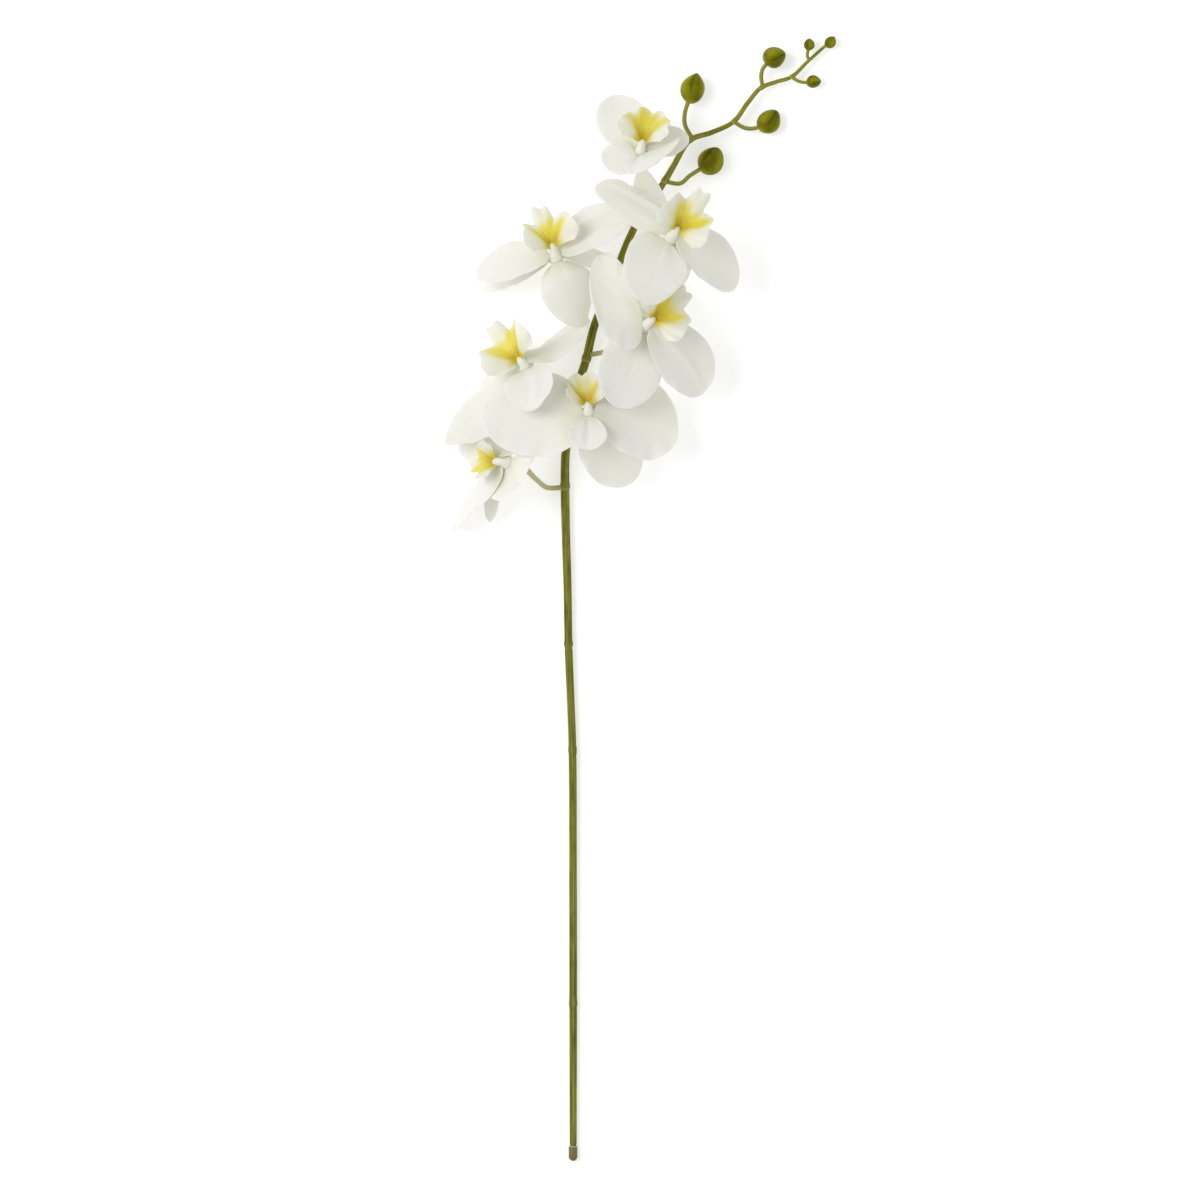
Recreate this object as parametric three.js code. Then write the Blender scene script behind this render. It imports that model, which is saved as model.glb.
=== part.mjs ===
// A cut spray of moth orchid, laid on its back on a flat surface.
//
// The stem runs along +Y from its cut end to the last bud, the surface is the plane z = 0 and the open
// flowers look up from it. All sizes are millimetres. A flower is five tepals and a lip around the heart
// that ends its stalk. Every tepal is a thin blade on a curved midrib: it leaves the heart on a narrow
// claw, bows on its way to its tip, and cups across its width.
import * as THREE from 'three';
import { mergeVertices } from 'three/addons/utils/BufferGeometryUtils.js';

const FIT_GAP = 0.35; // between pieces that grow from each other

// Tepals
const HEART_RADIUS = 2.8; // knob at the end of a stalk, which carries the tepals
const CLAW_GAP = 0.5; // between the knob and a claw
const BLADE_THICKNESS = 1.0;
const RIM_THINNING = 0.45; // share of the thickness that a blade loses at its rim
const CLAW_HALF_WIDTH = 1.5;
const TIP_HALF_WIDTH = 0.35;
const TURN_DONE = 0.6; // share of a tepal's length over which it takes up its turn
const SHAPED_FROM = 0.25; // share of a tepal's length after which it has all its skew and fold
const CREASE_WIDTH = 0.12; // share of a folded tepal's half width that its crease rounds off
const LAYER_STEP = 0.9; // petals leave the heart this far in front of its middle, sepals as far behind
const BLADE_ROWS = 7;
const BLADE_COLUMNS = 6;
const PETAL = { peak: 1.25, round: 0.5, layer: LAYER_STEP, colour: '#f3f3ee' };
const SEPAL = { peak: 1.1, round: 0.56, layer: -LAYER_STEP, colour: '#eef0e8' };

// Lips
const LIP_THICKNESS = 0.9;
const LIP_LAYER = 1.4; // the lip leaves the heart this far in front of its middle
const LIP_GAP = 0.5; // between the knob and the middle of a lip's fan
const LIP_FOOT = 0.1; // share of a lobe's reach where the lip starts
// Degrees from the middle of a lip's long lobe
const LIP_HALF_ANGLES = [0, 7, 13, 19, 26, 34, 43, 54, 70, 86, 102];
const LIP_COLUMNS = 4;
const LIP_REACH = 16.5; // between its lobes
const LIP_LOBES = [{ at: 0, reach: 11, spread: 14, flat: 4 }, { at: 34, reach: 5, spread: 10, flat: 2 },
  { at: 70, reach: 5, spread: 22, flat: 4 }];
const LIP_RISE = { middle: 8, side: 50, from: 10, to: 70 };
const LIP_COLOUR = '#f2d869';

// Stalks
const STALK_RADIUS = 1.35;
const STALK_SIDES = 8;
const OVARY_RADIUS = 1.75;
const KNOB_LENGTH = 2.3;
const COLUMN = { radius: 1.5, rise: 6.6, reach: 6.4 }; // the rod that arches over the lip
const STALK_COLOUR = '#8c9440';

// Stem and buds
const STEM_SIDES = 12;
const RING_HEIGHT = 4.4; // swollen node of the stem
const RING_SWELL = 0.45;
const STEM_COLOUR = '#6d7a2c';
const BUD_SIDES = 12;
const BUD_ROWS = 7;
const BUD_SKEW = 0.9; // below 1 the fattest part of a bud moves to its foot
const BUD_FULLNESS = 0.62; // the lower, the blunter a bud's ends
const BUD_END_RADIUS = 0.4;
const BUD_COLOUR = '#5c6a24';

const CAP = { length: 8.3, radius: 2.35, wall: 0.5, bore: 6.2, floor: 2.5, sides: 20, colour: '#8a7561' };
const CAP_NOSE = { radius: 1.4, bevel: 0.25, length: 1.3 }; // its rounded closed end

const vector = (p) => new THREE.Vector3(p[0], p[1], p[2]);
const degrees = THREE.MathUtils.degToRad;
const { lerp, smoothstep } = THREE.MathUtils;

// Stations of the stem from the cut end up: x, y, height, radius. A ring is a swollen node.
const STEM = [
  { at: [-36.2, -297.8, 2.35], radius: 1.5 },
  { at: [-36.2, -291.9, 2.35], radius: 1.5 },
  { at: [-36.2, -291.4, 2.35], radius: 1.85 },
  { at: [-36.2, -255, 2.45], radius: 1.95 },
  { at: [-36.2, -216.5, 2.7], radius: 2.05, ring: true },
  { at: [-36.3, -150, 3.1], radius: 2.05 },
  { at: [-36.6, -81, 3.5], radius: 2.05, ring: true },
  { at: [-37.6, -52, 3.7], radius: 2.05 },
  { at: [-38.7, -24.7, 3.9], radius: 2.1, ring: true },
  { at: [-39.2, 5, 4.1], radius: 2.15 },
  { at: [-40.1, 35, 4.4], radius: 2.25 },
  { at: [-40.6, 59.6, 4.7], radius: 2.4, ring: true },
  { at: [-40.4, 76, 4.9], radius: 2.3 },
  { at: [-38.6, 92, 5.1], radius: 2.3, ring: true },
  { at: [-35.5, 108, 5.4], radius: 2.25, ring: true },
  { at: [-29.3, 128, 5.9], radius: 2.3, ring: true },
  { at: [-25.2, 145, 6.3], radius: 2.2 },
  { at: [-19.5, 160, 6.6], radius: 2.1, ring: true },
  { at: [-12.2, 178, 6.9], radius: 2.05 },
  { at: [-4.2, 197, 7.2], radius: 2.0 },
  { at: [2.5, 208, 7.3], radius: 1.9, ring: true },
  { at: [12.5, 223, 7.4], radius: 1.8, ring: true },
  { at: [17.5, 231.5, 7.3], radius: 1.6 },
  { at: [26, 245, 7.2], radius: 1.5, ring: true },
  { at: [38, 249.3, 7.1], radius: 1.35 },
  { at: [49.5, 255, 6.9], radius: 1.3, ring: true },
  { at: [57, 265, 6.6], radius: 1.25 },
  { at: [64, 273, 6.3], radius: 1.2, ring: true },
  { at: [72, 276.2, 5.9], radius: 1.1 },
  { at: [80.5, 279, 5.5], radius: 1.05, ring: true },
  { at: [89, 287, 4.9], radius: 0.95 },
  { at: [97.2, 294.4, 4.3], radius: 0.85 },
];

// Buds in the order that they leave the stem. A stalk's route starts on the stem's side.
const BUDS = {
  bud_1: { route: [[15.2, 221.6, 7.4], [21, 222, 7.5], [26, 226, 7.4], [31.5, 229.6, 7.2]],
    tip: [43.5, 238.5, 6.7], wide: 14.6, thick: 1.15 },
  bud_2: { route: [[25.2, 247.8, 7.4], [23.6, 253, 7.8], [23.4, 259, 8.2], [25.2, 265.4, 8.4]],
    tip: [31, 280, 8.0], wide: 13.2, thick: 1.15 },
  bud_3: { route: [[51.3, 253.6, 6.8], [55.5, 251.7, 6.5], [59.5, 251.3, 6.3], [62.6, 252.0, 6.1]],
    tip: [74, 258.8, 5.7], wide: 12.4, thick: 1.1 },
  bud_4: { route: [[64.1, 275.6, 6.8], [64.2, 279, 7.0], [65, 283, 7.4], [67, 285.6, 7.6]],
    tip: [75.4, 293.8, 7.8], wide: 12.4, thick: 1.1 },
  bud_5: { route: [[82.1, 277.8, 5.3], [84, 276.8, 5.2], [86, 276.2, 5.1], [88.6, 276.0, 5.0]],
    tip: [96, 276.4, 4.8], wide: 7.0, thick: 0.9 },
  bud_6: { route: [[89, 289.1, 5.2], [88.9, 290, 5.2], [89, 291.4, 5.3], [89.3, 293.2, 5.4]],
    tip: [90.3, 299.2, 5.4], wide: 6.0, thick: 0.85 },
  bud_7: { route: [[97.9, 295.0, 4.2], [98.1, 295.2, 4.2], [98.3, 295.4, 4.2], [98.6, 295.6, 4.2]],
    tip: [104, 299.6, 4.2], wide: 6.2, thick: 0.85 },
};

// Flowers in the order that they leave the stem. `face` is the way the flower looks and `lip` the way its
// lip points. A tepal's `tip` and its stalk's `route` are places, and `bow` is how far its midrib swings
// from a straight line.
const FLOWERS = {
  flower_1: {
    heart: [-72, 73, 28], face: [-0.8, 0.15, 0.6], lip: [-0.5, -0.2, -0.84], lipTilt: 12, lipSize: 0.72,
    route: [[-43.6, 58.8, 5.4], [-50, 59.5, 8], [-56, 64, 13], [-63, 70.5, 20]],
    tepals: {
      dorsal_sepal: { kind: SEPAL, tip: [-81.5, 42, 3], bow: [-2, 0, -3], wide: 17, cup: 20 },
      left_sepal: { kind: SEPAL, tip: [-97, 90, 8], bow: [-2, 4, -1], wide: 24, cup: 10,
        layer: -1.8, peak: 1.5 },
      right_sepal: { kind: SEPAL, tip: [-65.5, 60.5, 47.5], bow: [3, -3, 1], wide: 33, turn: -18, cup: 15 },
      left_petal: { kind: PETAL, tip: [-101, 37.5, 4], bow: [1.5, -1, 2], wide: 26, turn: 28, cup: 20 },
      right_petal: { kind: PETAL, tip: [-50, 92, 23], bow: [0, 1, -3], wide: 24, cup: 12,
        layer: 2.1, peak: 1.8 },
    },
  },
  flower_2: {
    heart: [-28, 99, 38], face: [0.03, 0.32, 0.95], lip: [-0.16, 0.9, -0.4], lipTilt: -10, lipSize: 0.8,
    route: [[-37.2, 92.6, 7.6], [-35, 93.5, 12], [-31, 93, 22], [-28.6, 95.4, 31]],
    tepals: {
      dorsal_sepal: { kind: SEPAL, tip: [-28.5, 79, 50], bow: [0, 1, 4], wide: 20, cup: 25,
        layer: 1.9, peak: 1.5 },
      left_sepal: { kind: SEPAL, tip: [-4, 122, 12], bow: [3, -1, -6], wide: 22, cup: 10 },
      right_sepal: { kind: SEPAL, tip: [-3, 63.5, 20], bow: [-3, -1, -1], wide: 35, cup: 12 },
      left_petal: { kind: PETAL, tip: [-84.5, 97, 36], bow: [0, -1, 5], wide: 45, turn: -9, cup: 14,
        peak: 0.85 },
      right_petal: { kind: PETAL, tip: [19.5, 95, 22], bow: [0, -2, 2], wide: 46, cup: 16 },
    },
  },
  flower_3: {
    heart: [-61, 123.5, 38], face: [-0.4, 0.35, 0.85], lip: [-0.66, 0.75, -0.1], lipTilt: 6, lipRoll: -6,
    lipSize: 1.08,
    route: [[-38.2, 109, 6.8], [-44, 112, 11], [-52, 117.5, 20], [-58.6, 121.6, 29]],
    tepals: {
      dorsal_sepal: { kind: SEPAL, tip: [-59.5, 99.5, 50], bow: [1, 2, 4], wide: 28, cup: 25,
        layer: 1.9, lean: 0.1, peak: 0.85 },
      left_sepal: { kind: SEPAL, tip: [-86, 112, 4], bow: [-3, 1, -7], wide: 14, cup: 4,
        layer: -1.8 },
      right_sepal: { kind: SEPAL, tip: [-75, 142, 12], bow: [-2, 1, -4], wide: 10, cup: 4 },
      left_petal: { kind: PETAL, tip: [-104.5, 82.5, 24], bow: [-1, -1.5, -14], wide: 26, cup: 8,
        layer: -0.4, lean: 0.2, peak: 1.15, round: 0.85 },
      right_petal: { kind: PETAL, tip: [-32, 150, 9], bow: [1, -1, 3], wide: 30, turn: -28, cup: 8,
        layer: 1.2, peak: 1.4, fold: 16 },
    },
  },
  flower_4: {
    heart: [2.5, 145.5, 44], face: [0.3, 0.2, 0.93], lip: [0.75, 0.62, -0.25], lipTilt: 10, lipRoll: 9,
    route: [[-25.5, 130.2, 6.7], [-20, 131.8, 9], [-9, 135, 20], [0, 141.5, 36]],
    tepals: {
      dorsal_sepal: { kind: SEPAL, tip: [-11, 101, 46], bow: [-2, 0, -1], wide: 34, cup: 8,
        layer: -1.6 },
      left_sepal: { kind: SEPAL, tip: [13, 172, 18], bow: [0, 0, -6], wide: 19, cup: 6,
        layer: -1.8 },
      right_sepal: { kind: SEPAL, tip: [28, 124, 18], bow: [0, 0, -2], wide: 22, cup: 10 },
      left_petal: { kind: PETAL, tip: [-27, 173.5, 38], bow: [0, 0, 6], wide: 37, cup: 10, skew: 0.9,
        lean: 0.15, layer: 1.5 },
      right_petal: { kind: PETAL, tip: [34, 110.5, 30], bow: [2, 1, 4], wide: 32, cup: 16, lean: 0.1 },
    },
  },
  flower_5: {
    heart: [-45.5, 182, 30], face: [-0.15, 0.75, 0.65], lip: [-0.26, 0.62, -0.75], lipTilt: 28,
    route: [[-21.8, 161.4, 7], [-28, 165, 10], [-36, 171, 16], [-43, 177.6, 24]],
    tepals: {
      dorsal_sepal: { kind: SEPAL, tip: [-30, 146, 26], bow: [-1, 4, 12], wide: 31, cup: -30 },
      left_sepal: { kind: SEPAL, tip: [-85, 167, 1.4], bow: [0, -2, 2], wide: 20, cup: 10 },
      right_sepal: { kind: SEPAL, tip: [-15, 179.5, 12], bow: [1, 2, -2], wide: 24, cup: 8 },
      left_petal: { kind: PETAL, tip: [-87.5, 172.5, 22], bow: [0, 4, 5], wide: 31, cup: 16 },
      right_petal: { kind: PETAL, tip: [-6, 205, 26], bow: [-1, 3, 3], wide: 33, cup: 16, lean: 0.1 },
    },
  },
  flower_6: {
    heart: [16, 192, 53], face: [0.3, 0.25, 0.92], lip: [0.55, 0.8, -0.2], lipTilt: 22,
    route: [[-12.2, 170.4, 8], [-4, 174, 15], [7, 182, 32], [14, 189, 46]],
    tepals: {
      dorsal_sepal: { kind: SEPAL, tip: [4, 155.5, 64], bow: [-5, 4, 4], wide: 34, cup: 14, peak: 0.9 },
      left_sepal: { kind: SEPAL, tip: [0, 229.5, 25], bow: [-4, -1, -15], wide: 16, cup: 6 },
      right_sepal: { kind: SEPAL, tip: [19.5, 165, 30], bow: [2, 0, 0], wide: 18, cup: 10 },
      left_petal: { kind: PETAL, tip: [-24, 219.5, 46], bow: [1, 3, 4], wide: 31, turn: 26, cup: 8,
        lean: -0.35, fold: 24 },
      right_petal: { kind: PETAL, tip: [50, 165, 34], bow: [2, 3, 4], wide: 26, cup: 16, lean: 0.2,
        peak: 1.1, round: 0.6 },
    },
  },
  flower_7: {
    heart: [0, 237, 56], face: [-0.05, 0.5, 0.86], lip: [0.26, 0.85, -0.5], lipTilt: 0, lipSize: 0.92,
    route: [[3, 211.5, 10.2], [2.5, 220, 12], [1.8, 230, 20], [0.6, 234.5, 38]],
    tepals: {
      dorsal_sepal: { kind: SEPAL, tip: [8.5, 230.5, 71], bow: [0, -1, 3], wide: 34, turn: -2, cup: 10,
        layer: 1.9, lean: 0.15, round: 0.4 },
      left_sepal: { kind: SEPAL, tip: [-14, 268, 34], bow: [-4, 0, 0], wide: 27, cup: 14,
        layer: -1.8 },
      right_sepal: { kind: SEPAL, tip: [13, 254.5, 30], bow: [3, -2.5, 0], wide: 12, cup: 10 },
      left_petal: { kind: PETAL, tip: [-18, 227.5, 62], bow: [-2, 1, 0], wide: 21, cup: 20 },
      right_petal: { kind: PETAL, tip: [23, 248, 48], bow: [2, -2, 1], wide: 18, cup: 16,
        layer: 0.2 },
    },
  },
};

const spray = new THREE.Group();
spray.name = 'moth_orchid_spray';

// Adds a closed body to the spray under its name, with its colour.
function addPiece(name, geometry, colour, roughness) {
  const material = new THREE.MeshStandardMaterial({ color: colour, roughness, metalness: 0 });
  const piece = new THREE.Mesh(geometry, material);
  piece.name = name;
  spray.add(piece);
}

// A closed body through a row of closed loops with as many points each. An end is closed across its loop.
function loft(loops) {
  const count = loops[0].length;
  const at = (row, k) => row * count + (k % count);
  const index = [];
  for (let row = 0; row < loops.length - 1; row += 1) {
    for (let k = 0; k < count; k += 1) {
      index.push(at(row, k), at(row, k + 1), at(row + 1, k + 1));
      index.push(at(row, k), at(row + 1, k + 1), at(row + 1, k));
    }
  }
  const last = loops.length - 1;
  for (let k = 0; k < count / 2 - 1; k += 1) {
    const far = count - 1 - k;
    index.push(at(0, k), at(0, far), at(0, k + 1));
    index.push(at(0, k + 1), at(0, far), at(0, far - 1));
    index.push(at(last, k), at(last, k + 1), at(last, far));
    index.push(at(last, k + 1), at(last, far - 1), at(last, far));
  }
  const points = loops.flat();
  const geometry = new THREE.BufferGeometry().setFromPoints(points);
  geometry.setIndex(signedVolume(points, index) < 0 ? index.reverse() : index);
  return geometry;
}

function signedVolume(points, index) {
  let sum = 0;
  for (let i = 0; i < index.length; i += 3) {
    const [a, b, c] = [points[index[i]], points[index[i + 1]], points[index[i + 2]]];
    sum += a.dot(b.clone().cross(c));
  }
  return sum / 6;
}

// A thin sheet given as a surface of two numbers, turned into a closed body of an even thickness that
// thins towards the rim. `along` lists the rows, and the columns run from -1 to 1.
function sheet(surface, along, columns, thickness) {
  const step = 0.01;
  const loops = along.map((u) => {
    const front = [];
    const back = [];
    for (let k = 0; k <= columns; k += 1) {
      const v = -1 + (2 * k) / columns;
      const middle = surface(u, v);
      const across = surface(u, Math.min(v + step, 1)).sub(surface(u, Math.max(v - step, -1)));
      const onward = surface(Math.min(u + step, 1), v).sub(surface(Math.max(u - step, 0), v));
      const half = onward.cross(across).setLength((thickness / 2) * (1 - RIM_THINNING * v * v));
      front.push(middle.clone().add(half));
      back.unshift(middle.sub(half));
    }
    return [...front, ...back];
  });
  return loft(loops);
}

// A round body along a smooth line through its stations, `steps` rows from one to the next.
function rod(stations, steps, sides) {
  const path = new THREE.CatmullRomCurve3(stations.map((s) => vector(s.at)), false, 'centripetal');
  const spans = stations.length - 1;
  const side = new THREE.Vector3(0, 0, 1);
  const loops = [];
  for (let row = 0; row <= spans * steps; row += 1) {
    const t = row / (spans * steps);
    const span = Math.min(Math.floor(row / steps), spans - 1);
    const radius = lerp(stations[span].radius, stations[span + 1].radius, row / steps - span);
    const centre = path.getPoint(t);
    const tangent = path.getTangent(t);
    side.addScaledVector(tangent, -side.dot(tangent)).normalize();
    loops.push(Array.from({ length: sides }, (_, k) => {
      const arm = side.clone().applyAxisAngle(tangent, ((2 * Math.PI) / sides) * (k + 0.5));
      return arm.multiplyScalar(radius).add(centre);
    }));
  }
  return loft(loops);
}

// The line of a tepal's middle, from its claw at the heart to its tip.
function midrib(heart, face, tepal) {
  const tip = vector(tepal.tip);
  const middle = heart.clone().add(tip).multiplyScalar(0.5).add(vector(tepal.bow));
  const start = middle.clone().sub(heart);
  start.addScaledVector(face, -start.dot(face)).normalize();
  const claw = heart.clone().addScaledVector(start, HEART_RADIUS + CLAW_GAP);
  claw.addScaledVector(face, tepal.layer ?? tepal.kind.layer);
  return new THREE.QuadraticBezierCurve3(claw, middle, tip);
}

function halfWidth(u, tepal) {
  const { peak, round } = { ...tepal.kind, ...tepal };
  const belly = 1 - (2 * u ** peak - 1) ** 2;
  const foot = CLAW_HALF_WIDTH * (1 - u) ** 3 + TIP_HALF_WIDTH * u;
  return foot + (tepal.wide / 2) * Math.max(belly, 0) ** round;
}

// The middle surface of a tepal: u runs from claw to tip, v from edge to edge.
function tepalSurface(heart, face, tepal) {
  const line = midrib(heart, face, tepal);
  const cup = degrees(tepal.cup);
  const crease = Math.sin(degrees(tepal.fold ?? 0));
  return (u, v) => {
    const tangent = line.getTangent(u);
    const normal = face.clone().addScaledVector(tangent, -face.dot(tangent)).normalize();
    normal.applyAxisAngle(tangent, degrees(tepal.turn ?? 0) * smoothstep(u, 0, TURN_DONE));
    const across = normal.clone().cross(tangent);
    const width = halfWidth(u, tepal) * (1 + (tepal.lean ?? 0) * Math.sign(v));
    const point = line.getPoint(u);
    const shaped = smoothstep(u, 0, SHAPED_FROM);
    const drop = crease * shaped * (1 - u ** 3) * (Math.hypot(v, CREASE_WIDTH) - CREASE_WIDTH);
    point.addScaledVector(tangent, -width * v * shaped * (tepal.skew ?? 0));
    point.addScaledVector(across, (width * Math.sin(cup * v)) / cup);
    point.addScaledVector(normal, width * ((1 - Math.cos(cup * v)) / cup - drop));
    return point;
  };
}

function addTepal(name, heart, face, tepal) {
  const rows = Array.from({ length: BLADE_ROWS + 1 }, (_, i) => Math.sin((Math.PI / 2) * (i / BLADE_ROWS)));
  const geometry = sheet(tepalSurface(heart, face, tepal), rows, BLADE_COLUMNS, BLADE_THICKNESS);
  addPiece(name, geometry, tepal.kind.colour, 0.6);
}

// The three axes of a lip: along its middle lobe, to its side, and up out of its bowl.
function lipAxes(flower, face) {
  const down = vector(flower.lip);
  down.addScaledVector(face, -down.dot(face)).normalize();
  const across = down.clone().cross(face);
  const forward = down.clone().applyAxisAngle(across, degrees(flower.lipTilt));
  const side = across.applyAxisAngle(forward, degrees(flower.lipRoll ?? 0));
  return { forward, side, up: side.clone().cross(forward) };
}

// How far a lip reaches at an angle from its middle lobe, in degrees.
function lipReach(angle) {
  return LIP_LOBES.reduce((sum, { at, reach, spread, flat }) => (
    sum + reach * Math.exp(-((Math.abs(Math.abs(angle) - at) / spread) ** flat))
  ), LIP_REACH);
}

function lipSurface(heart, face, flower) {
  const { forward, side, up } = lipAxes(flower, face);
  const foot = heart.clone().addScaledVector(forward, HEART_RADIUS + LIP_GAP);
  foot.addScaledVector(face, LIP_LAYER);
  const widest = LIP_HALF_ANGLES.at(-1);
  return (u, v) => {
    const angle = widest * (2 * u - 1);
    const turn = degrees(angle);
    const share = smoothstep(Math.abs(angle), LIP_RISE.from, LIP_RISE.to);
    const rise = degrees(lerp(LIP_RISE.middle, LIP_RISE.side, share));
    const reach = lipReach(angle) * (flower.lipSize ?? 1) * lerp(LIP_FOOT, 1, (v + 1) / 2);
    const point = foot.clone();
    point.addScaledVector(forward, reach * Math.cos(rise) * Math.cos(turn));
    point.addScaledVector(side, reach * Math.cos(rise) * Math.sin(turn));
    return point.addScaledVector(up, reach * Math.sin(rise));
  };
}

function addLip(name, heart, face, flower) {
  const angles = [...LIP_HALF_ANGLES.slice(1).reverse().map((angle) => -angle), ...LIP_HALF_ANGLES];
  const rows = angles.map((angle) => 0.5 + (0.5 * angle) / LIP_HALF_ANGLES.at(-1));
  addPiece(name, sheet(lipSurface(heart, face, flower), rows, LIP_COLUMNS, LIP_THICKNESS), LIP_COLOUR, 0.5);
}

// A stalk runs from the stem to the heart, swells there, and ends in the column over the lip.
function addStalk(name, heart, face, flower) {
  const { forward } = lipAxes(flower, face);
  const stations = flower.route.map((at) => ({ at, radius: STALK_RADIUS }));
  stations.at(-1).radius = OVARY_RADIUS;
  const add = (height, onward, radius) => {
    const at = heart.clone().addScaledVector(face, height).addScaledVector(forward, onward);
    stations.push({ at: at.toArray(), radius });
  };
  add(-1.5 * KNOB_LENGTH, 0, OVARY_RADIUS + FIT_GAP);
  add(-0.6 * KNOB_LENGTH, 0, HEART_RADIUS);
  add(0.4 * KNOB_LENGTH, 0, HEART_RADIUS);
  add(1.1 * KNOB_LENGTH, 0, COLUMN.radius);
  add(0.7 * COLUMN.rise, 0.15 * COLUMN.reach, 0.9 * COLUMN.radius);
  add(0.95 * COLUMN.rise, 0.65 * COLUMN.reach, COLUMN.radius);
  add(COLUMN.rise, COLUMN.reach, 0.5 * COLUMN.radius);
  addPiece(name, rod(stations, 2, STALK_SIDES), STALK_COLOUR, 0.5);
}

function addFlower(name, flower) {
  const heart = vector(flower.heart);
  const face = vector(flower.face).normalize();
  addStalk(`${name}_stalk`, heart, face, flower);
  addLip(`${name}_lip`, heart, face, flower);
  for (const [part, tepal] of Object.entries(flower.tepals)) {
    addTepal(`${name}_${part}`, heart, face, tepal);
  }
}

// The stem's stations, with a ring's own three in place of its one.
function stemStations() {
  return STEM.flatMap(({ at: [x, y, z], radius, ring }, i) => {
    if (!ring) {
      return [{ at: [x, y, z], radius }];
    }
    const before = vector(STEM[i - 1].at);
    const after = vector(STEM[i + 1].at);
    const along = after.sub(before).normalize().multiplyScalar(RING_HEIGHT / 2);
    const centre = new THREE.Vector3(x, y, z);
    return [
      { at: centre.clone().sub(along).toArray(), radius },
      { at: centre.toArray(), radius: radius + RING_SWELL },
      { at: centre.clone().add(along).toArray(), radius },
    ];
  });
}

// A bud is an egg on the end of its stalk, drawn in at both ends.
function addBud(name, bud) {
  const foot = vector(bud.route.at(-1));
  const tip = vector(bud.tip);
  const stations = bud.route.map((at) => ({ at, radius: bud.thick }));
  for (let i = 1; i <= BUD_ROWS; i += 1) {
    const share = (1 - Math.cos((Math.PI * i) / BUD_ROWS)) / 2;
    const girth = Math.max(Math.sin(Math.PI * share ** BUD_SKEW), 0) ** BUD_FULLNESS;
    const radius = Math.max((bud.wide / 2) * girth, BUD_END_RADIUS);
    stations.push({ at: foot.clone().lerp(tip, share).toArray(), radius });
  }
  addPiece(name, rod(stations, 1, BUD_SIDES), BUD_COLOUR, 0.55);
}

// The cap is a cup over the cut end of the stem, with its mouth towards the flowers.
function addCap() {
  const { length, radius, wall, bore, floor, sides, colour } = CAP;
  const outline = [[0, 0], [CAP_NOSE.radius, CAP_NOSE.bevel], [radius, CAP_NOSE.length], [radius, length],
    [radius - wall, length], [radius - wall, length - bore], [0, length - bore]];
  const geometry = new THREE.LatheGeometry(outline.map(([x, y]) => new THREE.Vector2(x, y)), sides);
  geometry.deleteAttribute('normal');
  geometry.deleteAttribute('uv');
  const [x, y, z] = STEM[0].at;
  geometry.translate(x, y - floor, z);
  addPiece('stem_end_cap', mergeVertices(geometry, 1e-4), colour, 0.7);
}

addPiece('main_stem', rod(stemStations(), 1, STEM_SIDES), STEM_COLOUR, 0.5);
addCap();
Object.entries(BUDS).forEach(([name, bud]) => addBud(name, bud));
Object.entries(FLOWERS).forEach(([name, flower]) => addFlower(name, flower));

export default spray;
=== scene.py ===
# A cut spray of moth orchid, lying on its back: a ringed stem, seven open flowers, seven buds and a cap
# over the cut end. It lies on the plane z = 0 with its stem along +Y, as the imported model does.
# The tables hold millimetres; the properties and every mesh are in metres.

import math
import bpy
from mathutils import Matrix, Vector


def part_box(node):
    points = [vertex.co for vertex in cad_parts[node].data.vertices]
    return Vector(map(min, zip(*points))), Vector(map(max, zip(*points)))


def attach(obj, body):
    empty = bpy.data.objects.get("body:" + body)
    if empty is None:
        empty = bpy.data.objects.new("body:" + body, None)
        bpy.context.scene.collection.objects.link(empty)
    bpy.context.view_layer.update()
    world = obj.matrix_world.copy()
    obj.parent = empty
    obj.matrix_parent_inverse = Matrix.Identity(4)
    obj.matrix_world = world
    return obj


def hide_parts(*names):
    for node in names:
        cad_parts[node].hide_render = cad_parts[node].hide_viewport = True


bl_info = {
    "name": "Moth orchid spray",
    "version": (1, 0, 0),
    "blender": (4, 5, 0),
    "location": "3D View > Sidebar > Orchid",
    "description": "Makes the pieces and finishes of a cut moth orchid spray",
    "category": "Add Mesh",
}

import bpy
import numpy as np
from bpy.props import FloatProperty, FloatVectorProperty, IntProperty, PointerProperty
from bpy.types import Operator, Panel, PropertyGroup
from mathutils import Matrix, Vector

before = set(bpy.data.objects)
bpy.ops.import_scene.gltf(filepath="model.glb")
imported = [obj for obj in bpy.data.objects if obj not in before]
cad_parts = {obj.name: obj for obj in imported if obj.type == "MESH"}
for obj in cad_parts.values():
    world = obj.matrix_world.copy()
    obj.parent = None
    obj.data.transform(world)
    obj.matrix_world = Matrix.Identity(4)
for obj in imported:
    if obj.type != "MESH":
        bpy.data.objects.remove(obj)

MM = 0.001
FLOAT = "NodeSocketFloat"

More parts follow.
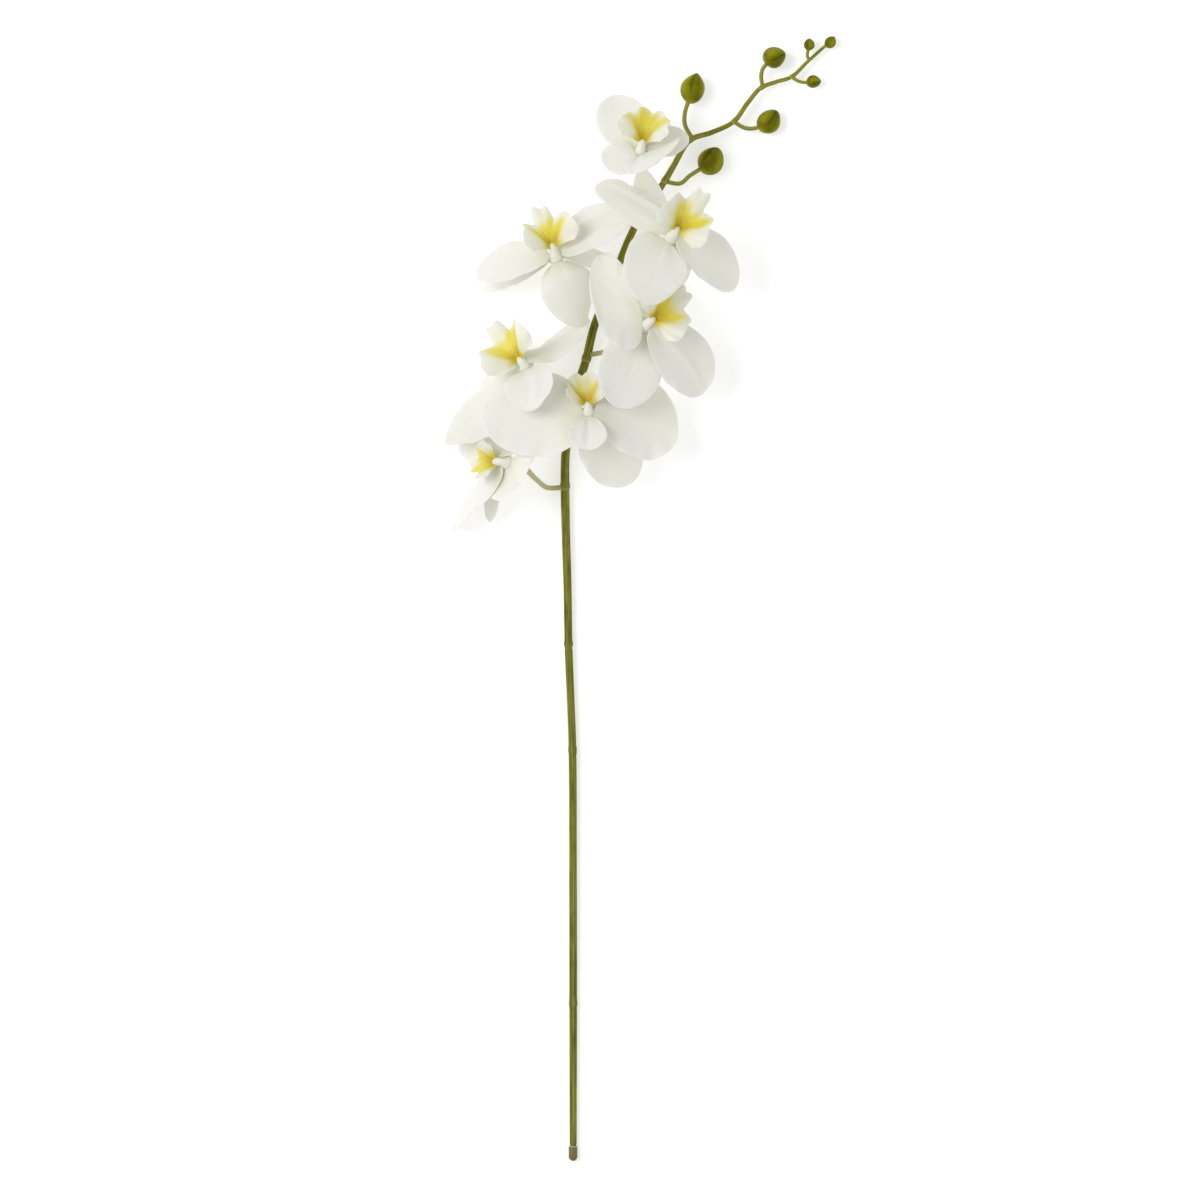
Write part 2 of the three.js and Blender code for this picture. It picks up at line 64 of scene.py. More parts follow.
# The stem's stations from the cut end up: x, y, height and radius, and True where it has a ring.
STEM = [
    (-36.2, -297.8, 2.35, 1.5),
    (-36.2, -291.9, 2.35, 1.5),
    (-36.2, -291.4, 2.35, 1.85),
    (-36.2, -255, 2.45, 1.95),
    (-36.2, -216.5, 2.7, 2.05, True),
    (-36.3, -150, 3.1, 2.05),
    (-36.6, -81, 3.5, 2.05, True),
    (-37.6, -52, 3.7, 2.05),
    (-38.7, -24.7, 3.9, 2.1, True),
    (-39.2, 5, 4.1, 2.15),
    (-40.1, 35, 4.4, 2.25),
    (-40.6, 59.6, 4.7, 2.4, True),
    (-40.4, 76, 4.9, 2.3),
    (-38.6, 92, 5.1, 2.3, True),
    (-35.5, 108, 5.4, 2.25, True),
    (-29.3, 128, 5.9, 2.3, True),
    (-25.2, 145, 6.3, 2.2),
    (-19.5, 160, 6.6, 2.1, True),
    (-12.2, 178, 6.9, 2.05),
    (-4.2, 197, 7.2, 2.0),
    (2.5, 208, 7.3, 1.9, True),
    (12.5, 223, 7.4, 1.8, True),
    (17.5, 231.5, 7.3, 1.6),
    (26, 245, 7.2, 1.5, True),
    (38, 249.3, 7.1, 1.35),
    (49.5, 255, 6.9, 1.3, True),
    (57, 265, 6.6, 1.25),
    (64, 273, 6.3, 1.2, True),
    (72, 276.2, 5.9, 1.1),
    (80.5, 279, 5.5, 1.05, True),
    (89, 287, 4.9, 0.95),
    (97.2, 294.4, 4.3, 0.85),
]

# Each bud: the route of its stalk, its tip, its width, the radius of its stalk, how many degrees the egg
# leans away from the line to its tip, and how pointed it is.
BUDS = {
    "bud_1": ([(15.2, 221.6, 7.4), (21, 222, 7.5), (26, 226, 7.4), (31.5, 229.6, 7.2)],
              (43.5, 238.5, 6.7), 14.6, 1.15, 22, 0.0),
    "bud_2": ([(25.2, 247.8, 7.4), (23.6, 253, 7.8), (23.4, 259, 8.2), (25.2, 265.4, 8.4)],
              (31, 280, 8.0), 13.2, 1.15, 8, 0.16),
    "bud_3": ([(51.3, 253.6, 6.8), (55.5, 251.7, 6.5), (59.5, 251.3, 6.3), (62.6, 252.0, 6.1)],
              (74, 258.8, 5.7), 12.4, 1.1, 18, 0.0),
    "bud_4": ([(64.1, 275.6, 6.8), (64.2, 279, 7.0), (65, 283, 7.4), (67, 285.6, 7.6)],
              (75.4, 293.8, 7.8), 12.4, 1.1, -32, 0.0),
    "bud_5": ([(82.1, 277.8, 5.3), (84, 276.8, 5.2), (86, 276.2, 5.1), (88.6, 276.0, 5.0)],
              (96, 276.4, 4.8), 7.0, 0.9, 3, 0.0),
    "bud_6": ([(89, 289.1, 5.2), (88.9, 290, 5.2), (89, 291.4, 5.3), (89.3, 293.2, 5.4)],
              (90.3, 299.2, 5.4), 6.0, 0.85, 4, 0.0),
    "bud_7": ([(97.9, 295.0, 4.2), (98.1, 295.2, 4.2), (98.3, 295.4, 4.2), (98.6, 295.6, 4.2)],
              (104, 299.6, 4.2), 6.2, 0.85, 16, 0.06),
}

# What a tepal has unless its own entry says otherwise. A crease has its place across the blade from -1
# to 1, its height and its breadth across the blade.
KINDS = {
    "petal": {"peak": 1.25, "round": 0.5, "layer": 0.9},
    "sepal": {"peak": 1.1, "round": 0.56, "layer": -0.9},
}
PLAIN = {"turn": 0.0, "lean": 0.0, "skew": 0.0, "fold": 0.0, "creases": ()}

# What a lip has unless its flower says otherwise: how far its rim opens out, how much of the yellow its
# middle lobe takes, how far out its throat is yellow, and the length and breadth of its middle lobe.
PLAIN_LIP = {"roll": 0, "size": 1.0, "flare": 1.0, "gold": 1.0, "yolk": 11.0, "lobe": (11, 14)}

PARTS = ("dorsal_sepal", "left_sepal", "right_sepal", "left_petal", "right_petal")


def blade(tip, bow, wide, cup, **own):
    """A tepal: its tip, a bow, its width, the angle of its cup, and what is unlike others of its kind."""
    return {"tip": tip, "bow": bow, "wide": wide, "cup": cup, **own}


def flower(*tepals, **own):
    """A flower, with its tepals given in the order of PARTS."""
    named = {part: {**PLAIN, **KINDS[part.split("_")[1]], **tepal} for part, tepal in zip(PARTS, tepals)}
    return {**PLAIN_LIP, **own, "tepals": named}


# Each flower: its tepals, its heart, the way it faces, the way its lip points, the lip's lift, roll and
# size, and the route of its stalk.
FLOWERS = {
    "flower_1": flower(
        blade((-81.5, 42, 3), (-2, 0, -3), 17, 20),
        blade((-97, 90, 8), (-2, 4, -1), 24, 10, layer=-1.8, peak=1.5),
        blade((-65.5, 60.5, 47.5), (3, -3, 1), 33, 15, turn=-18),
        blade((-101, 37.5, 4), (1.5, -1, 2), 26, 20, turn=28),
        blade((-50, 92, 23), (0, 1, -3), 24, 12, layer=2.1, peak=1.8),
        heart=(-72, 73, 28), face=(-0.8, 0.15, 0.6), lip=(-0.5, -0.2, -0.84), lift=12, size=0.72, flare=0.2,
        route=[(-43.6, 58.8, 5.4), (-50, 59.5, 8), (-56, 64, 13), (-63, 70.5, 20)]),
    "flower_2": flower(
        blade((-28.5, 79, 50), (0, 1, 4), 20, 25, layer=1.9, peak=1.5, creases=[(-0.35, 0.8, 0.2)]),
        blade((-4, 122, 12), (3, -1, -6), 22, 10),
        blade((-3, 63.5, 20), (-3, -1, -1), 35, 12),
        blade((-84.5, 97, 36), (0, -1, 5), 45, 14, turn=-9, peak=0.85),
        blade((19.5, 95, 22), (0, -2, 2), 46, 16),
        heart=(-28, 99, 38), face=(0.03, 0.32, 0.95), lip=(-0.16, 0.9, -0.4),
        lift=-10, size=0.8, gold=0.6, flare=0.0, lobe=(8.5, 27),
        route=[(-37.2, 92.6, 7.6), (-35, 93.5, 12), (-31, 93, 22), (-28.6, 95.4, 31)]),
    "flower_3": flower(
        blade((-59.5, 99.5, 50), (1, 2, 4), 28, 25, layer=1.9, lean=0.1, peak=0.85,
              creases=[(0.3, 1.0, 0.16)]),
        blade((-86, 112, 4), (-3, 1, -7), 14, 4, layer=-1.8),
        blade((-75, 142, 12), (-2, 1, -4), 10, 4),
        blade((-104.5, 82.5, 24), (-1, -1.5, -14), 26, 8, layer=-0.4, lean=0.2, peak=1.15, round=0.85),
        blade((-32, 150, 9), (1, -1, 3), 30, 8, turn=-28, layer=1.2, peak=1.4, fold=16),
        heart=(-61, 123.5, 38), face=(-0.4, 0.35, 0.85), lip=(-0.66, 0.75, -0.1),
        lift=6, roll=-6, size=1.08, yolk=13.0,
        route=[(-38.2, 109, 6.8), (-44, 112, 11), (-52, 117.5, 20), (-58.6, 121.6, 29)]),
    "flower_4": flower(
        blade((-11, 101, 46), (-2, 0, -1), 34, 8, layer=-1.6),
        blade((13, 172, 18), (0, 0, -6), 19, 6, layer=-1.8),
        blade((28, 124, 18), (0, 0, -2), 22, 10),
        blade((-27, 173.5, 38), (0, 0, 6), 37, 10, skew=0.9, lean=0.15, layer=1.5),
        blade((34, 110.5, 30), (2, 1, 4), 32, 16, lean=0.1, creases=[(0.1, 0.9, 0.14)]),
        heart=(2.5, 145.5, 44), face=(0.3, 0.2, 0.93), lip=(0.75, 0.62, -0.25), lift=10, roll=9,
        route=[(-25.5, 130.2, 6.7), (-20, 131.8, 9), (-9, 135, 20), (0, 141.5, 36)]),
    "flower_5": flower(
        blade((-30, 146, 26), (-1, 4, 12), 31, -30),
        blade((-85, 167, 1.4), (0, -2, 2), 20, 10),
        blade((-15, 179.5, 12), (1, 2, -2), 24, 8),
        blade((-87.5, 172.5, 22), (0, 4, 5), 31, 16),
        blade((-6, 205, 26), (-1, 3, 3), 33, 16, lean=0.1, creases=[(0.4, 2.4, 0.16), (-0.3, 0.8, 0.12)]),
        heart=(-45.5, 182, 30), face=(-0.15, 0.75, 0.65), lip=(-0.26, 0.62, -0.75), lift=28,
        route=[(-21.8, 161.4, 7), (-28, 165, 10), (-36, 171, 16), (-43, 177.6, 24)]),
    "flower_6": flower(
        blade((4, 155.5, 64), (-5, 4, 4), 34, 14, peak=0.9),
        blade((0, 229.5, 25), (-4, -1, -15), 16, 6),
        blade((19.5, 165, 30), (2, 0, 0), 18, 10),
        blade((-24, 219.5, 46), (1, 3, 4), 31, 8, turn=26, lean=-0.35, fold=24,
              creases=[(-0.45, 2.4, 0.16)]),
        blade((50, 165, 34), (2, 3, 4), 26, 16, lean=0.2, peak=1.1, round=0.6),
        heart=(16, 192, 53), face=(0.3, 0.25, 0.92), lip=(0.55, 0.8, -0.2), lift=22,
        route=[(-12.2, 170.4, 8), (-4, 174, 15), (7, 182, 32), (14, 189, 46)]),
    "flower_7": flower(
        blade((8.5, 230.5, 71), (0, -1, 3), 34, 10, turn=-2, layer=1.9, lean=0.15, round=0.4),
        blade((-14, 268, 34), (-4, 0, 0), 27, 14, layer=-1.8),
        blade((13, 254.5, 30), (3, -2.5, 0), 12, 10),
        blade((-18, 227.5, 62), (-2, 1, 0), 21, 20),
        blade((23, 248, 48), (2, -2, 1), 18, 16, layer=0.2),
        heart=(0, 237, 56), face=(-0.05, 0.5, 0.86), lip=(0.26, 0.85, -0.5),
        lift=0, size=0.92, yolk=16.0, lobe=(9, 24),
        route=[(3, 211.5, 10.2), (2.5, 220, 12), (1.8, 230, 20), (0.6, 234.5, 38)]),
}

# The stations of a column: the way up from the heart, the way out over the lip, and the radius.
COLUMN = [(-3.1, 0, 2.3), (-2.4, 0, 3.6), (-1.2, 0, 4.15), (0.1, 0, 3.9), (1.2, 0.1, 3.2),
          (2.1, 0.6, 2.6), (2.8, 1.4, 2.35), (3.3, 2.4, 2.3), (3.6, 3.3, 2.1), (3.7, 4.2, 1.5)]

PHASE_STEP = 0.618  # how far the waves and veins shift from one piece to the next, in turns

# Tepals
HEART_RADIUS = 2.8
CLAW_GAP = 0.5
CLAW_HALF_WIDTH = 2.6
CLAW_ROOT = 3.0  # how far a claw runs on into the heart
ROOT_SWELL = 0.5  # how much thicker a claw is where it joins the heart
TIP_HALF_WIDTH = 0.35
TURN_DONE = 0.6  # share of the length by which a tepal has its whole turn
SHAPED_FROM = 0.25  # share of the length from which it has its whole fold
FOLD_WIDTH = 0.12
USUAL_WIDTH = 35  # the width of a tepal whose waves are as high as the settings say
MIDRIB_WIDTH = 0.9
TEPAL_ROWS = 56
TEPAL_COLUMNS = 42

# Lips; angles in degrees from the middle lobe
LIP_LAYER = 1.4
LIP_FOOT = 0.055  # share of its reach at which a lip begins
LIP_GAP = 0.5
LIP_WIDEST = 104
LIP_REACH = 16.5
LIP_LOBES = [(37, 5, 13, 2), (72, 5, 22, 4)]  # beside the middle one: angle, height, breadth and squareness
LIP_SIDES = (10, 70)  # the angles between which the middle lobe passes into the side lobes
LIP_RISE = 8  # how steeply the middle lobe rises
LIP_STEEPER = 42  # how much more steeply the side lobes do
LIP_LEVEL = 0.45  # the square of the share of its reach at which a lip isn't flared
LIP_NOTCH = 0.10
LIP_ROWS = 150
LIP_COLUMNS = 34
PLEATS = [(20, 6), (51, 8)]  # angle and breadth
BUMP_ANGLE = 20
BUMP_PLACE = 5.5

# Stalks and columns
STALK_RADIUS = 1.35
STALK_ROOT = 1.25  # share of the way to the middle of the stem that a stalk runs on
STALK_SIDES = 24
BUD_STALK_SIDES = 20
STALK_FLUTES = 3
STALK_FLUTE_DEPTH = 0.04
OVARY_RADIUS = 1.75
KNOB_LENGTH = 2.3
COLUMN_SIDES = 28
STEM_SIDES = 36
RING_DIP = 0.28  # how far the stem draws in under a ring

# Buds
BUD_ROWS = 40
BUD_SIDES = 48
BUD_SKEW = 0.9
BUD_FULLNESS = 0.56
BUD_LENGTH = 1.07
BUD_WIDTH = 0.96
BUD_TWIST = 0.35
BUD_SEATED = 0.08  # share of a bud's length that its stalk runs into it

# The cap
CAP_WALL = 0.5
CAP_NOSE = 2.3
CAP_FLOOR = 2.2
CAP_SIDES = 40
CAP_WAVE = 0.35

FLESH_REACH = (1.0, 0.9, 0.6)  # how far red, green and blue light go in flesh, against each other

# The stage, in metres
FLOOR_DEPTH = 0.0002
LAMPS = {"key": ((-1.7, 0.6, 2.4), 1.6), "fill": ((1.8, -1.0, 1.6), 1.2)}  # place and width
LAMP_AIM = (0, 0.13, 0.03)
VIEW_MIDDLE = (-0.0218, -0.0005)
VIEW_HEIGHT = 0.03  # the height at which the view has the width that is asked for


# Vectors and curves

def unit(vectors):
    vectors = np.asarray(vectors, float)
    return vectors / np.linalg.norm(vectors, axis=-1, keepdims=True)


def turned(vectors, axis, angle):
    """The vectors turned about an axis of length one; angle in radians."""
    angle = np.asarray(angle, float)[..., None]
    inline = axis * (axis * vectors).sum(-1, keepdims=True)
    return vectors * np.cos(angle) + np.cross(axis, vectors) * np.sin(angle) + inline * (1 - np.cos(angle))


def eased(value, low, high):
    """0 below low, 1 above high, and a smooth step between."""
    share = np.clip((np.asarray(value, float) - low) / (high - low), 0, 1)
    return share * share * (3 - 2 * share)


def hump(value, middle, spread, power=2):
    return np.exp(-np.abs((value - middle) / spread) ** power)


def smooth_line(points, steps):
    """A line through the points with no overshoot, `steps` rows from each to the next."""
    points = np.asarray(points, float)
    ends = 2 * points[0] - points[1], 2 * points[-1] - points[-2]
    points = np.vstack([ends[0], points, ends[1]])
    rows = []
    for i in range(1, len(points) - 2):
        before, here, after, beyond = points[i - 1:i + 3]
        gaps = [np.linalg.norm(b - a) ** 0.5 for a, b in ((before, here), (here, after), (after, beyond))]
        leave = (here - before) / gaps[0] - (after - before) / (gaps[0] + gaps[1]) + (after - here) / gaps[1]
        reach = (after - here) / gaps[1] - (beyond - here) / (gaps[1] + gaps[2]) + (beyond - after) / gaps[2]
        leave, reach = leave * gaps[1], reach * gaps[1]
        last = i == len(points) - 3
        t = np.linspace(0, 1, steps + 1)[:None if last else -1, None]
        rows.append((2 * t ** 3 - 3 * t ** 2 + 1) * here + (t ** 3 - 2 * t ** 2 + t) * leave
                    + (3 * t ** 2 - 2 * t ** 3) * after + (t ** 3 - t ** 2) * reach)
    return np.vstack(rows)


def all_round(sides):
    return np.linspace(0, 2 * math.pi, sides, endpoint=False)


def phase_of(count):
    return count * PHASE_STEP % 1


def lengths_along(line):
    return np.concatenate([[0], np.cumsum(np.linalg.norm(np.diff(line, axis=0), axis=1))])


def directions_along(line):
    return unit(np.gradient(line, axis=0))


def arms_along(line, first=(0, 0, 1)):
    """A sideways vector at each point of a line, carried along it without twist."""
    side = np.asarray(first, float)
    arms = []
    for tangent in directions_along(line):
        side = unit(side - tangent * side.dot(tangent))
        arms.append(side)
    return np.array(arms)


def line_and_girth(stations, steps):
    """The smooth line through stations of x, y, height and radius, and the radius along it."""
    stations = np.array(stations, float)
    line = smooth_line(stations[:, :3], steps)
    return line, np.interp(np.arange(len(line)) / steps, np.arange(len(stations)), stations[:, 3])


def moved(points, *moves):
    """Points moved by some amounts along vectors."""
    for vectors, amounts in moves:
        points = points + vectors * amounts[..., None]
    return points


def round_points(centres, ring, turn, side, other):
    """Rings of points about a line: how far out they lie, and the angles they lie at."""
    return moved(centres[:, None], (side, ring * np.cos(turn)), (other, ring * np.sin(turn)))


def rounded(rim, *distances):
    """A thickness that rounds off from 1 to 0 where any of these distances from an edge is under the rim."""
    thick = 1.0
    for distance in distances:
        thick = thick * np.sqrt(1 - (1 - np.clip(distance / rim, 0, 1)) ** 2)
    return thick


# Meshes

def set_values(mesh, values):
    """Gives a mesh a named number at each of its points."""
    for key, numbers in values.items():
        numbers = np.full(len(mesh.vertices), numbers, np.float32)
        mesh.attributes.new(key, "FLOAT", "POINT").data.foreach_set("value", numbers)


def new_mesh(name, points, faces, values):
    """A smooth mesh from millimetres, with its named numbers."""
    mesh = bpy.data.meshes.new(name)
    mesh.from_pydata((np.asarray(points) * MM).tolist(), [], faces)
    mesh.shade_smooth()
    set_values(mesh, values)
    return mesh


def closed_sheet(name, front, back, values):
    """A thin closed body between two grids of points that share their border."""
    rows, columns = front.shape[:2]
    top = np.arange(rows * columns).reshape(rows, columns)
    under = top.copy()
    under[1:-1, 1:-1] = rows * columns + np.arange((rows - 2) * (columns - 2)).reshape(rows - 2, columns - 2)

    def quads(grid):
        return np.stack([grid[:-1, :-1], grid[1:, :-1], grid[1:, 1:], grid[:-1, 1:]], -1).reshape(-1, 4)

    faces = np.concatenate([quads(top), quads(under)[:, ::-1]])
    points = np.concatenate([front.reshape(-1, 3), back[1:-1, 1:-1].reshape(-1, 3)])
    both = {key: np.concatenate([over.ravel(), below[1:-1, 1:-1].ravel()])
            for key, (over, below) in values.items()}
    return new_mesh(name, points, faces.tolist(), both)


def closed_tube(name, rings, start, end, values):
    """A closed body round rings of points, drawn together to one point at each end."""
    rows, sides = rings.shape[:2]
    points = np.concatenate([[start], rings.reshape(-1, 3), [end]])
    grid = 1 + np.arange(rows * sides).reshape(rows, sides)
    onward = np.roll(grid, -1, axis=1)
    faces = np.stack([grid[:-1], onward[:-1], onward[1:], grid[1:]], -1).reshape(-1, 4).tolist()
    faces += [[0, b, a] for a, b in zip(grid[0], onward[0])]
    faces += [[rows * sides + 1, a, b] for a, b in zip(grid[-1], onward[-1])]
    ends = {}
    for key, numbers in values.items():
        numbers = np.broadcast_to(numbers, (rows, sides))
        ends[key] = np.concatenate([[numbers[0].mean()], numbers.ravel(), [numbers[-1].mean()]])
    return new_mesh(name, points, [[int(i) for i in face] for face in faces], ends)


def linked(name, data):
    """A new object in the scene."""
    thing = bpy.data.objects.new(name, data)
    bpy.context.scene.collection.objects.link(thing)
    return thing


def add_piece(mesh, material, node):
    """Puts a finished mesh into the scene as a piece that stands for this node of the model."""
    mesh.materials.clear()
    mesh.materials.append(material)
    piece = linked(mesh.name, mesh)
    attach(piece, "root")
    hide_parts(node)


# Node building

class Tree:
    """Adds nodes to a tree and joins them."""

    def __init__(self, tree):
        self.tree = tree

    def add(self, kind, inputs=(), **settings):
        node = self.tree.nodes.new(kind)
        for key, value in settings.items():
            setattr(node, key, value)
        for key, value in dict(inputs).items():
            self.feed(node.inputs[key], value)
        return node

    def feed(self, socket, value):
        if isinstance(value, bpy.types.NodeSocket):
            self.tree.links.new(value, socket)
        else:
            socket.default_value = value

    def made(self, kind, inputs=(), **settings):
        """The first output of a new node."""
        return self.add(kind, inputs, **settings).outputs[0]

    def math(self, operation, *values):
        return self.made("ShaderNodeMath", enumerate(values), operation=operation)

    def times(self, first, second):
        return self.math("MULTIPLY", first, second)

    def coats(self, settings, first, *coats):
        """A colour under coats of others, each with its share. A mix node has its colours at 6, 7 and 2."""
        colour = getattr(settings, first)
        for share, coat in coats:
            inputs = {0: share, 6: colour, 7: getattr(settings, coat)}
            colour = self.add("ShaderNodeMix", inputs, data_type="RGBA").outputs[2]
        return colour

    def ramp(self, value, low, high, to_low=0.0, to_high=1.0):
        inputs = {"Value": value, "From Min": low, "From Max": high, "To Min": to_low, "To Max": to_high}
        return self.made("ShaderNodeMapRange", inputs, interpolation_type="SMOOTHSTEP")

    def noise(self, spot, scale, detail):
        inputs = {"Vector": spot, "Scale": scale, "Detail": detail}
        return self.add("ShaderNodeTexNoise", inputs).outputs["Fac"]

    def number(self, key):
        return self.add("ShaderNodeAttribute", attribute_name=key).outputs["Fac"]

    def group(self, group, inputs):
        """The outputs of a node group that is used with its own values."""
        return self.add("ShaderNodeGroup", inputs, node_tree=group).outputs


def made_once(blocks, name):
    """Lets a maker run once; later calls get the block of this name that it made."""
    def wrap(make):
        def again(*given):
            return getattr(bpy.data, blocks).get(name) or make(name, *given)
        return again
    return wrap


def new_group(kind, name, inputs, outputs):
    """An empty node group with named sockets, and its end nodes. An input has a number or a type."""
    tree = bpy.data.node_groups.new(name, kind)
    for label, given in inputs.items():
        plain = {float: FLOAT, int: "NodeSocketInt"}.get(type(given))
        socket = tree.interface.new_socket(label, in_out="INPUT", socket_type=plain or given)
        if plain:
            socket.default_value = given
    for label, socket_type in outputs.items():
        tree.interface.new_socket(label, in_out="OUTPUT", socket_type=socket_type)
    t = Tree(tree)
    return t, t.add("NodeGroupInput").outputs, t.add("NodeGroupOutput").inputs


@made_once("node_groups", "Fine veins")
def veins_group(name):
    """Fine lines that run with a number across the surface, sway a little and break up along it."""
    t, given, out = new_group("ShaderNodeTree", name, {"Fan": 0.0, "Count": 30.0, "Sway": 0.6},
                              {"Lines": FLOAT, "Soft": FLOAT})
    spot = t.add("ShaderNodeTexCoord").outputs["Object"]
    drift, patches = t.noise(spot, 70.0, 2.0), t.noise(spot, 45.0, 3.0)
    swayed = t.math("MULTIPLY_ADD", t.math("SUBTRACT", drift, 0.5), given["Sway"], given["Fan"])
    turns = t.times(swayed, given["Count"])
    both = t.math("MULTIPLY_ADD", t.math("SINE", t.times(turns, 2.7)), 0.45, t.math("SINE", turns))
    strength = t.ramp(patches, 0.38, 0.66)
    t.feed(out["Lines"], t.times(t.ramp(both, 0.35, 1.3), strength))
    t.feed(out["Soft"], t.times(both, strength))
    return t.tree


@made_once("node_groups", "Mottle")
def mottle_group(name):
    """Two sizes of soft cloud, from 0 to 1."""
    t, given, out = new_group("ShaderNodeTree", name, {"Scale": 60.0, "Grain": 900.0, "Grain share": 0.25},
                              {"Value": FLOAT, "Grain": FLOAT})
    spot = t.add("ShaderNodeTexCoord").outputs["Object"]
    cloud, grain = t.noise(spot, given["Scale"], 4.0), t.noise(spot, given["Grain"], 2.0)
    mixed = t.math("MULTIPLY_ADD", t.math("SUBTRACT", grain, cloud), given["Grain share"], cloud)
    t.feed(out["Value"], t.ramp(mixed, 0.3, 0.7))
    t.feed(out["Grain"], grain)
    return t.tree


class Skin(Tree):
    """A new material and its shader, with soft clouds if they are given a scale."""

    def __init__(self, name, roughness, specular, scale=None, grain_share=0.25):
        self.material = bpy.data.materials.new(name)
        self.material.use_nodes = True
        super().__init__(self.material.node_tree)
        self.shader = self.tree.nodes["Principled BSDF"].inputs
        self.feed(self.shader["Roughness"], roughness)
        self.feed(self.shader["Specular IOR Level"], specular)
        if scale:
            inputs = {"Scale": scale, "Grain share": grain_share}
            self.cloud, self.grain = self.group(mottle_group(), inputs)

    def veins(self, count, sway):
        """Fine lines along the surface and the soft waves under them."""
        return self.group(veins_group(), {"Fan": self.number("fan"), "Count": count, "Sway": sway})

    def finish(self, colour, dull, height, depth, flesh=0.0, reach=0.0):
        """Gives the shader its colour, a roughness that follows the clouds, a fine relief, and flesh that
        light goes into and comes out of near by."""
        relief = {"Height": height, "Distance": depth, "Strength": 1.0}
        wanted = {"Base Color": colour, "Roughness": self.ramp(self.cloud, 0, 1, *dull),
                  "Normal": self.add("ShaderNodeBump", relief).outputs["Normal"]}
        if flesh:
            wanted.update({"Subsurface Weight": flesh, "Subsurface Radius": FLESH_REACH,
                           "Subsurface Scale": reach})
        for key, value in wanted.items():
            self.feed(self.shader[key], value)
        return self.material


def tepal_material(name, settings, count):
    t = Skin(name, roughness=0.55, specular=0.3, scale=55.0)
    lines, waves = t.veins(count, settings.vein_sway)
    rim = t.ramp(t.math("ABSOLUTE", t.number("aside")), 0.8, 1.0)
    colour = t.coats(
        settings, "white",
        # Towards the heart: partly the tepal's own greenish tint, partly painted shade where the tepals
        # meet.
        (t.ramp(t.number("along"), 0.34, 0.0), "claw"),
        (t.times(t.cloud, 0.35), "shade"),
        (t.times(lines, settings.vein_strength), "vein"),
        # Painted light: the thin edge is painted a brighter white, as where light shines through it.
        (t.times(rim, 0.4), "painted_rim_light"))
    height = t.math("MULTIPLY_ADD", waves, -1.0, t.times(t.grain, 0.6))
    return t.finish(colour, (0.48, 0.62), height, settings.vein_depth, flesh=0.45, reach=0.004)


def lip_material(settings):
    t = Skin("lip wax", roughness=0.42, specular=0.4, scale=160.0)
    lines, waves = t.veins(count=40.0, sway=0.25)
    colour = t.coats(
        settings, "white",
        (t.times(t.cloud, 0.3), "cream"),
        (t.times(t.number("yolk"), t.ramp(t.cloud, 0, 1, 0.86, 1.0)), "yellow"),
        (t.number("amber"), "amber"),
        (t.times(lines, 0.04), "cream"))
    height = t.math("MULTIPLY_ADD", waves, -0.4, t.grain)
    return t.finish(colour, (0.36, 0.5), height, depth=0.00004, flesh=0.4, reach=0.003)


def column_material(settings):
    t = Skin("column wax", roughness=0.4, specular=0.4, scale=240.0)
    colour = t.coats(settings, "white", (t.times(t.cloud, 0.3), "cream"), (t.number("blush"), "yellow"))
    return t.finish(colour, (0.34, 0.48), t.grain, depth=0.00008, flesh=0.3, reach=0.002)


@made_once("materials", "stem skin")
def stem_material(name, settings):
    """Green skin, paler towards the tip, with painted shade in its flutes, and a pale line and a darker one
    at a ring.
    """
    t = Skin(name, roughness=0.45, specular=0.09, scale=120.0)
    around = t.add("ShaderNodeAttribute", attribute_name="around").outputs["Vector"]
    onward = t.made("ShaderNodeCombineXYZ", {"Z": t.number("run")})
    spot = t.made("ShaderNodeVectorMath", {0: around, 1: onward}, operation="ADD")

    def drawn_out(across, along, detail):
        """Noise with one scale across the stem and another along it."""
        stretched = t.made("ShaderNodeMapping", {"Vector": spot, "Scale": (across, across, along)})
        return t.noise(stretched, 1.0, detail)

    streak, patch = drawn_out(3.2, 22.0, 3.0), drawn_out(0.9, 55.0, 2.0)
    colour = t.coats(
        settings, "green",
        (t.number("paleness"), "tip_green"),
        # Painted shade: the flutes are darkened where the ridge value is low; the two later coats of this
        # green are random darker patches.
        (t.ramp(t.number("ridge"), 0.1, -1.0, 0.0, 0.4), "groove"),
        (t.ramp(streak, 0.42, 0.68, 0.0, 0.65), "streak"),
        (t.ramp(t.cloud, 0.55, 1.0, 0.0, 0.35), "groove"),
        (t.ramp(patch, 0.48, 0.66, 0.0, 0.6), "groove"),
        (t.number("scar"), "scar"),
        (t.number("collar"), "streak"),
        (t.number("blanch"), "pale"))
    height = t.math("MULTIPLY_ADD", t.grain, 0.5, streak)
    return t.finish(colour, (0.36, 0.5), height, depth=0.00012, flesh=0.05, reach=0.001)


def bud_material(settings):
    t = Skin("bud skin", roughness=0.28, specular=0.06, scale=170.0, grain_share=0.35)
    lines, waves = t.veins(count=9.0, sway=0.3)
    colour = t.coats(
        settings, "olive",
        (t.ramp(t.cloud, 0, 1, 0.0, 0.4), "light"),
        (t.times(lines, 0.2), "light"),
        # Painted sheen: a broad band on each sepal takes the yellower green, as if lit.
        (t.times(t.number("crest"), 0.8), "light"),
        # Painted shade: the creases between the sepals are darkened.
        (t.number("seam"), "crease_shade"),
        (t.number("foot"), "light"))
    height = t.math("MULTIPLY_ADD", waves, -0.8, t.grain)
    return t.finish(colour, (0.24, 0.36), height, depth=0.0001, flesh=0.06, reach=0.001)


def cap_material(settings):
    t = Skin("cap wax", roughness=0.34, specular=0.25, scale=320.0)
    colour = t.coats(settings, "brown", (t.ramp(t.cloud, 0, 1, 0.0, 0.6), "grey"), (t.number("lip"), "pale"))
    return t.finish(colour, (0.28, 0.45), t.grain, depth=0.0001)


# Rods that follow a path

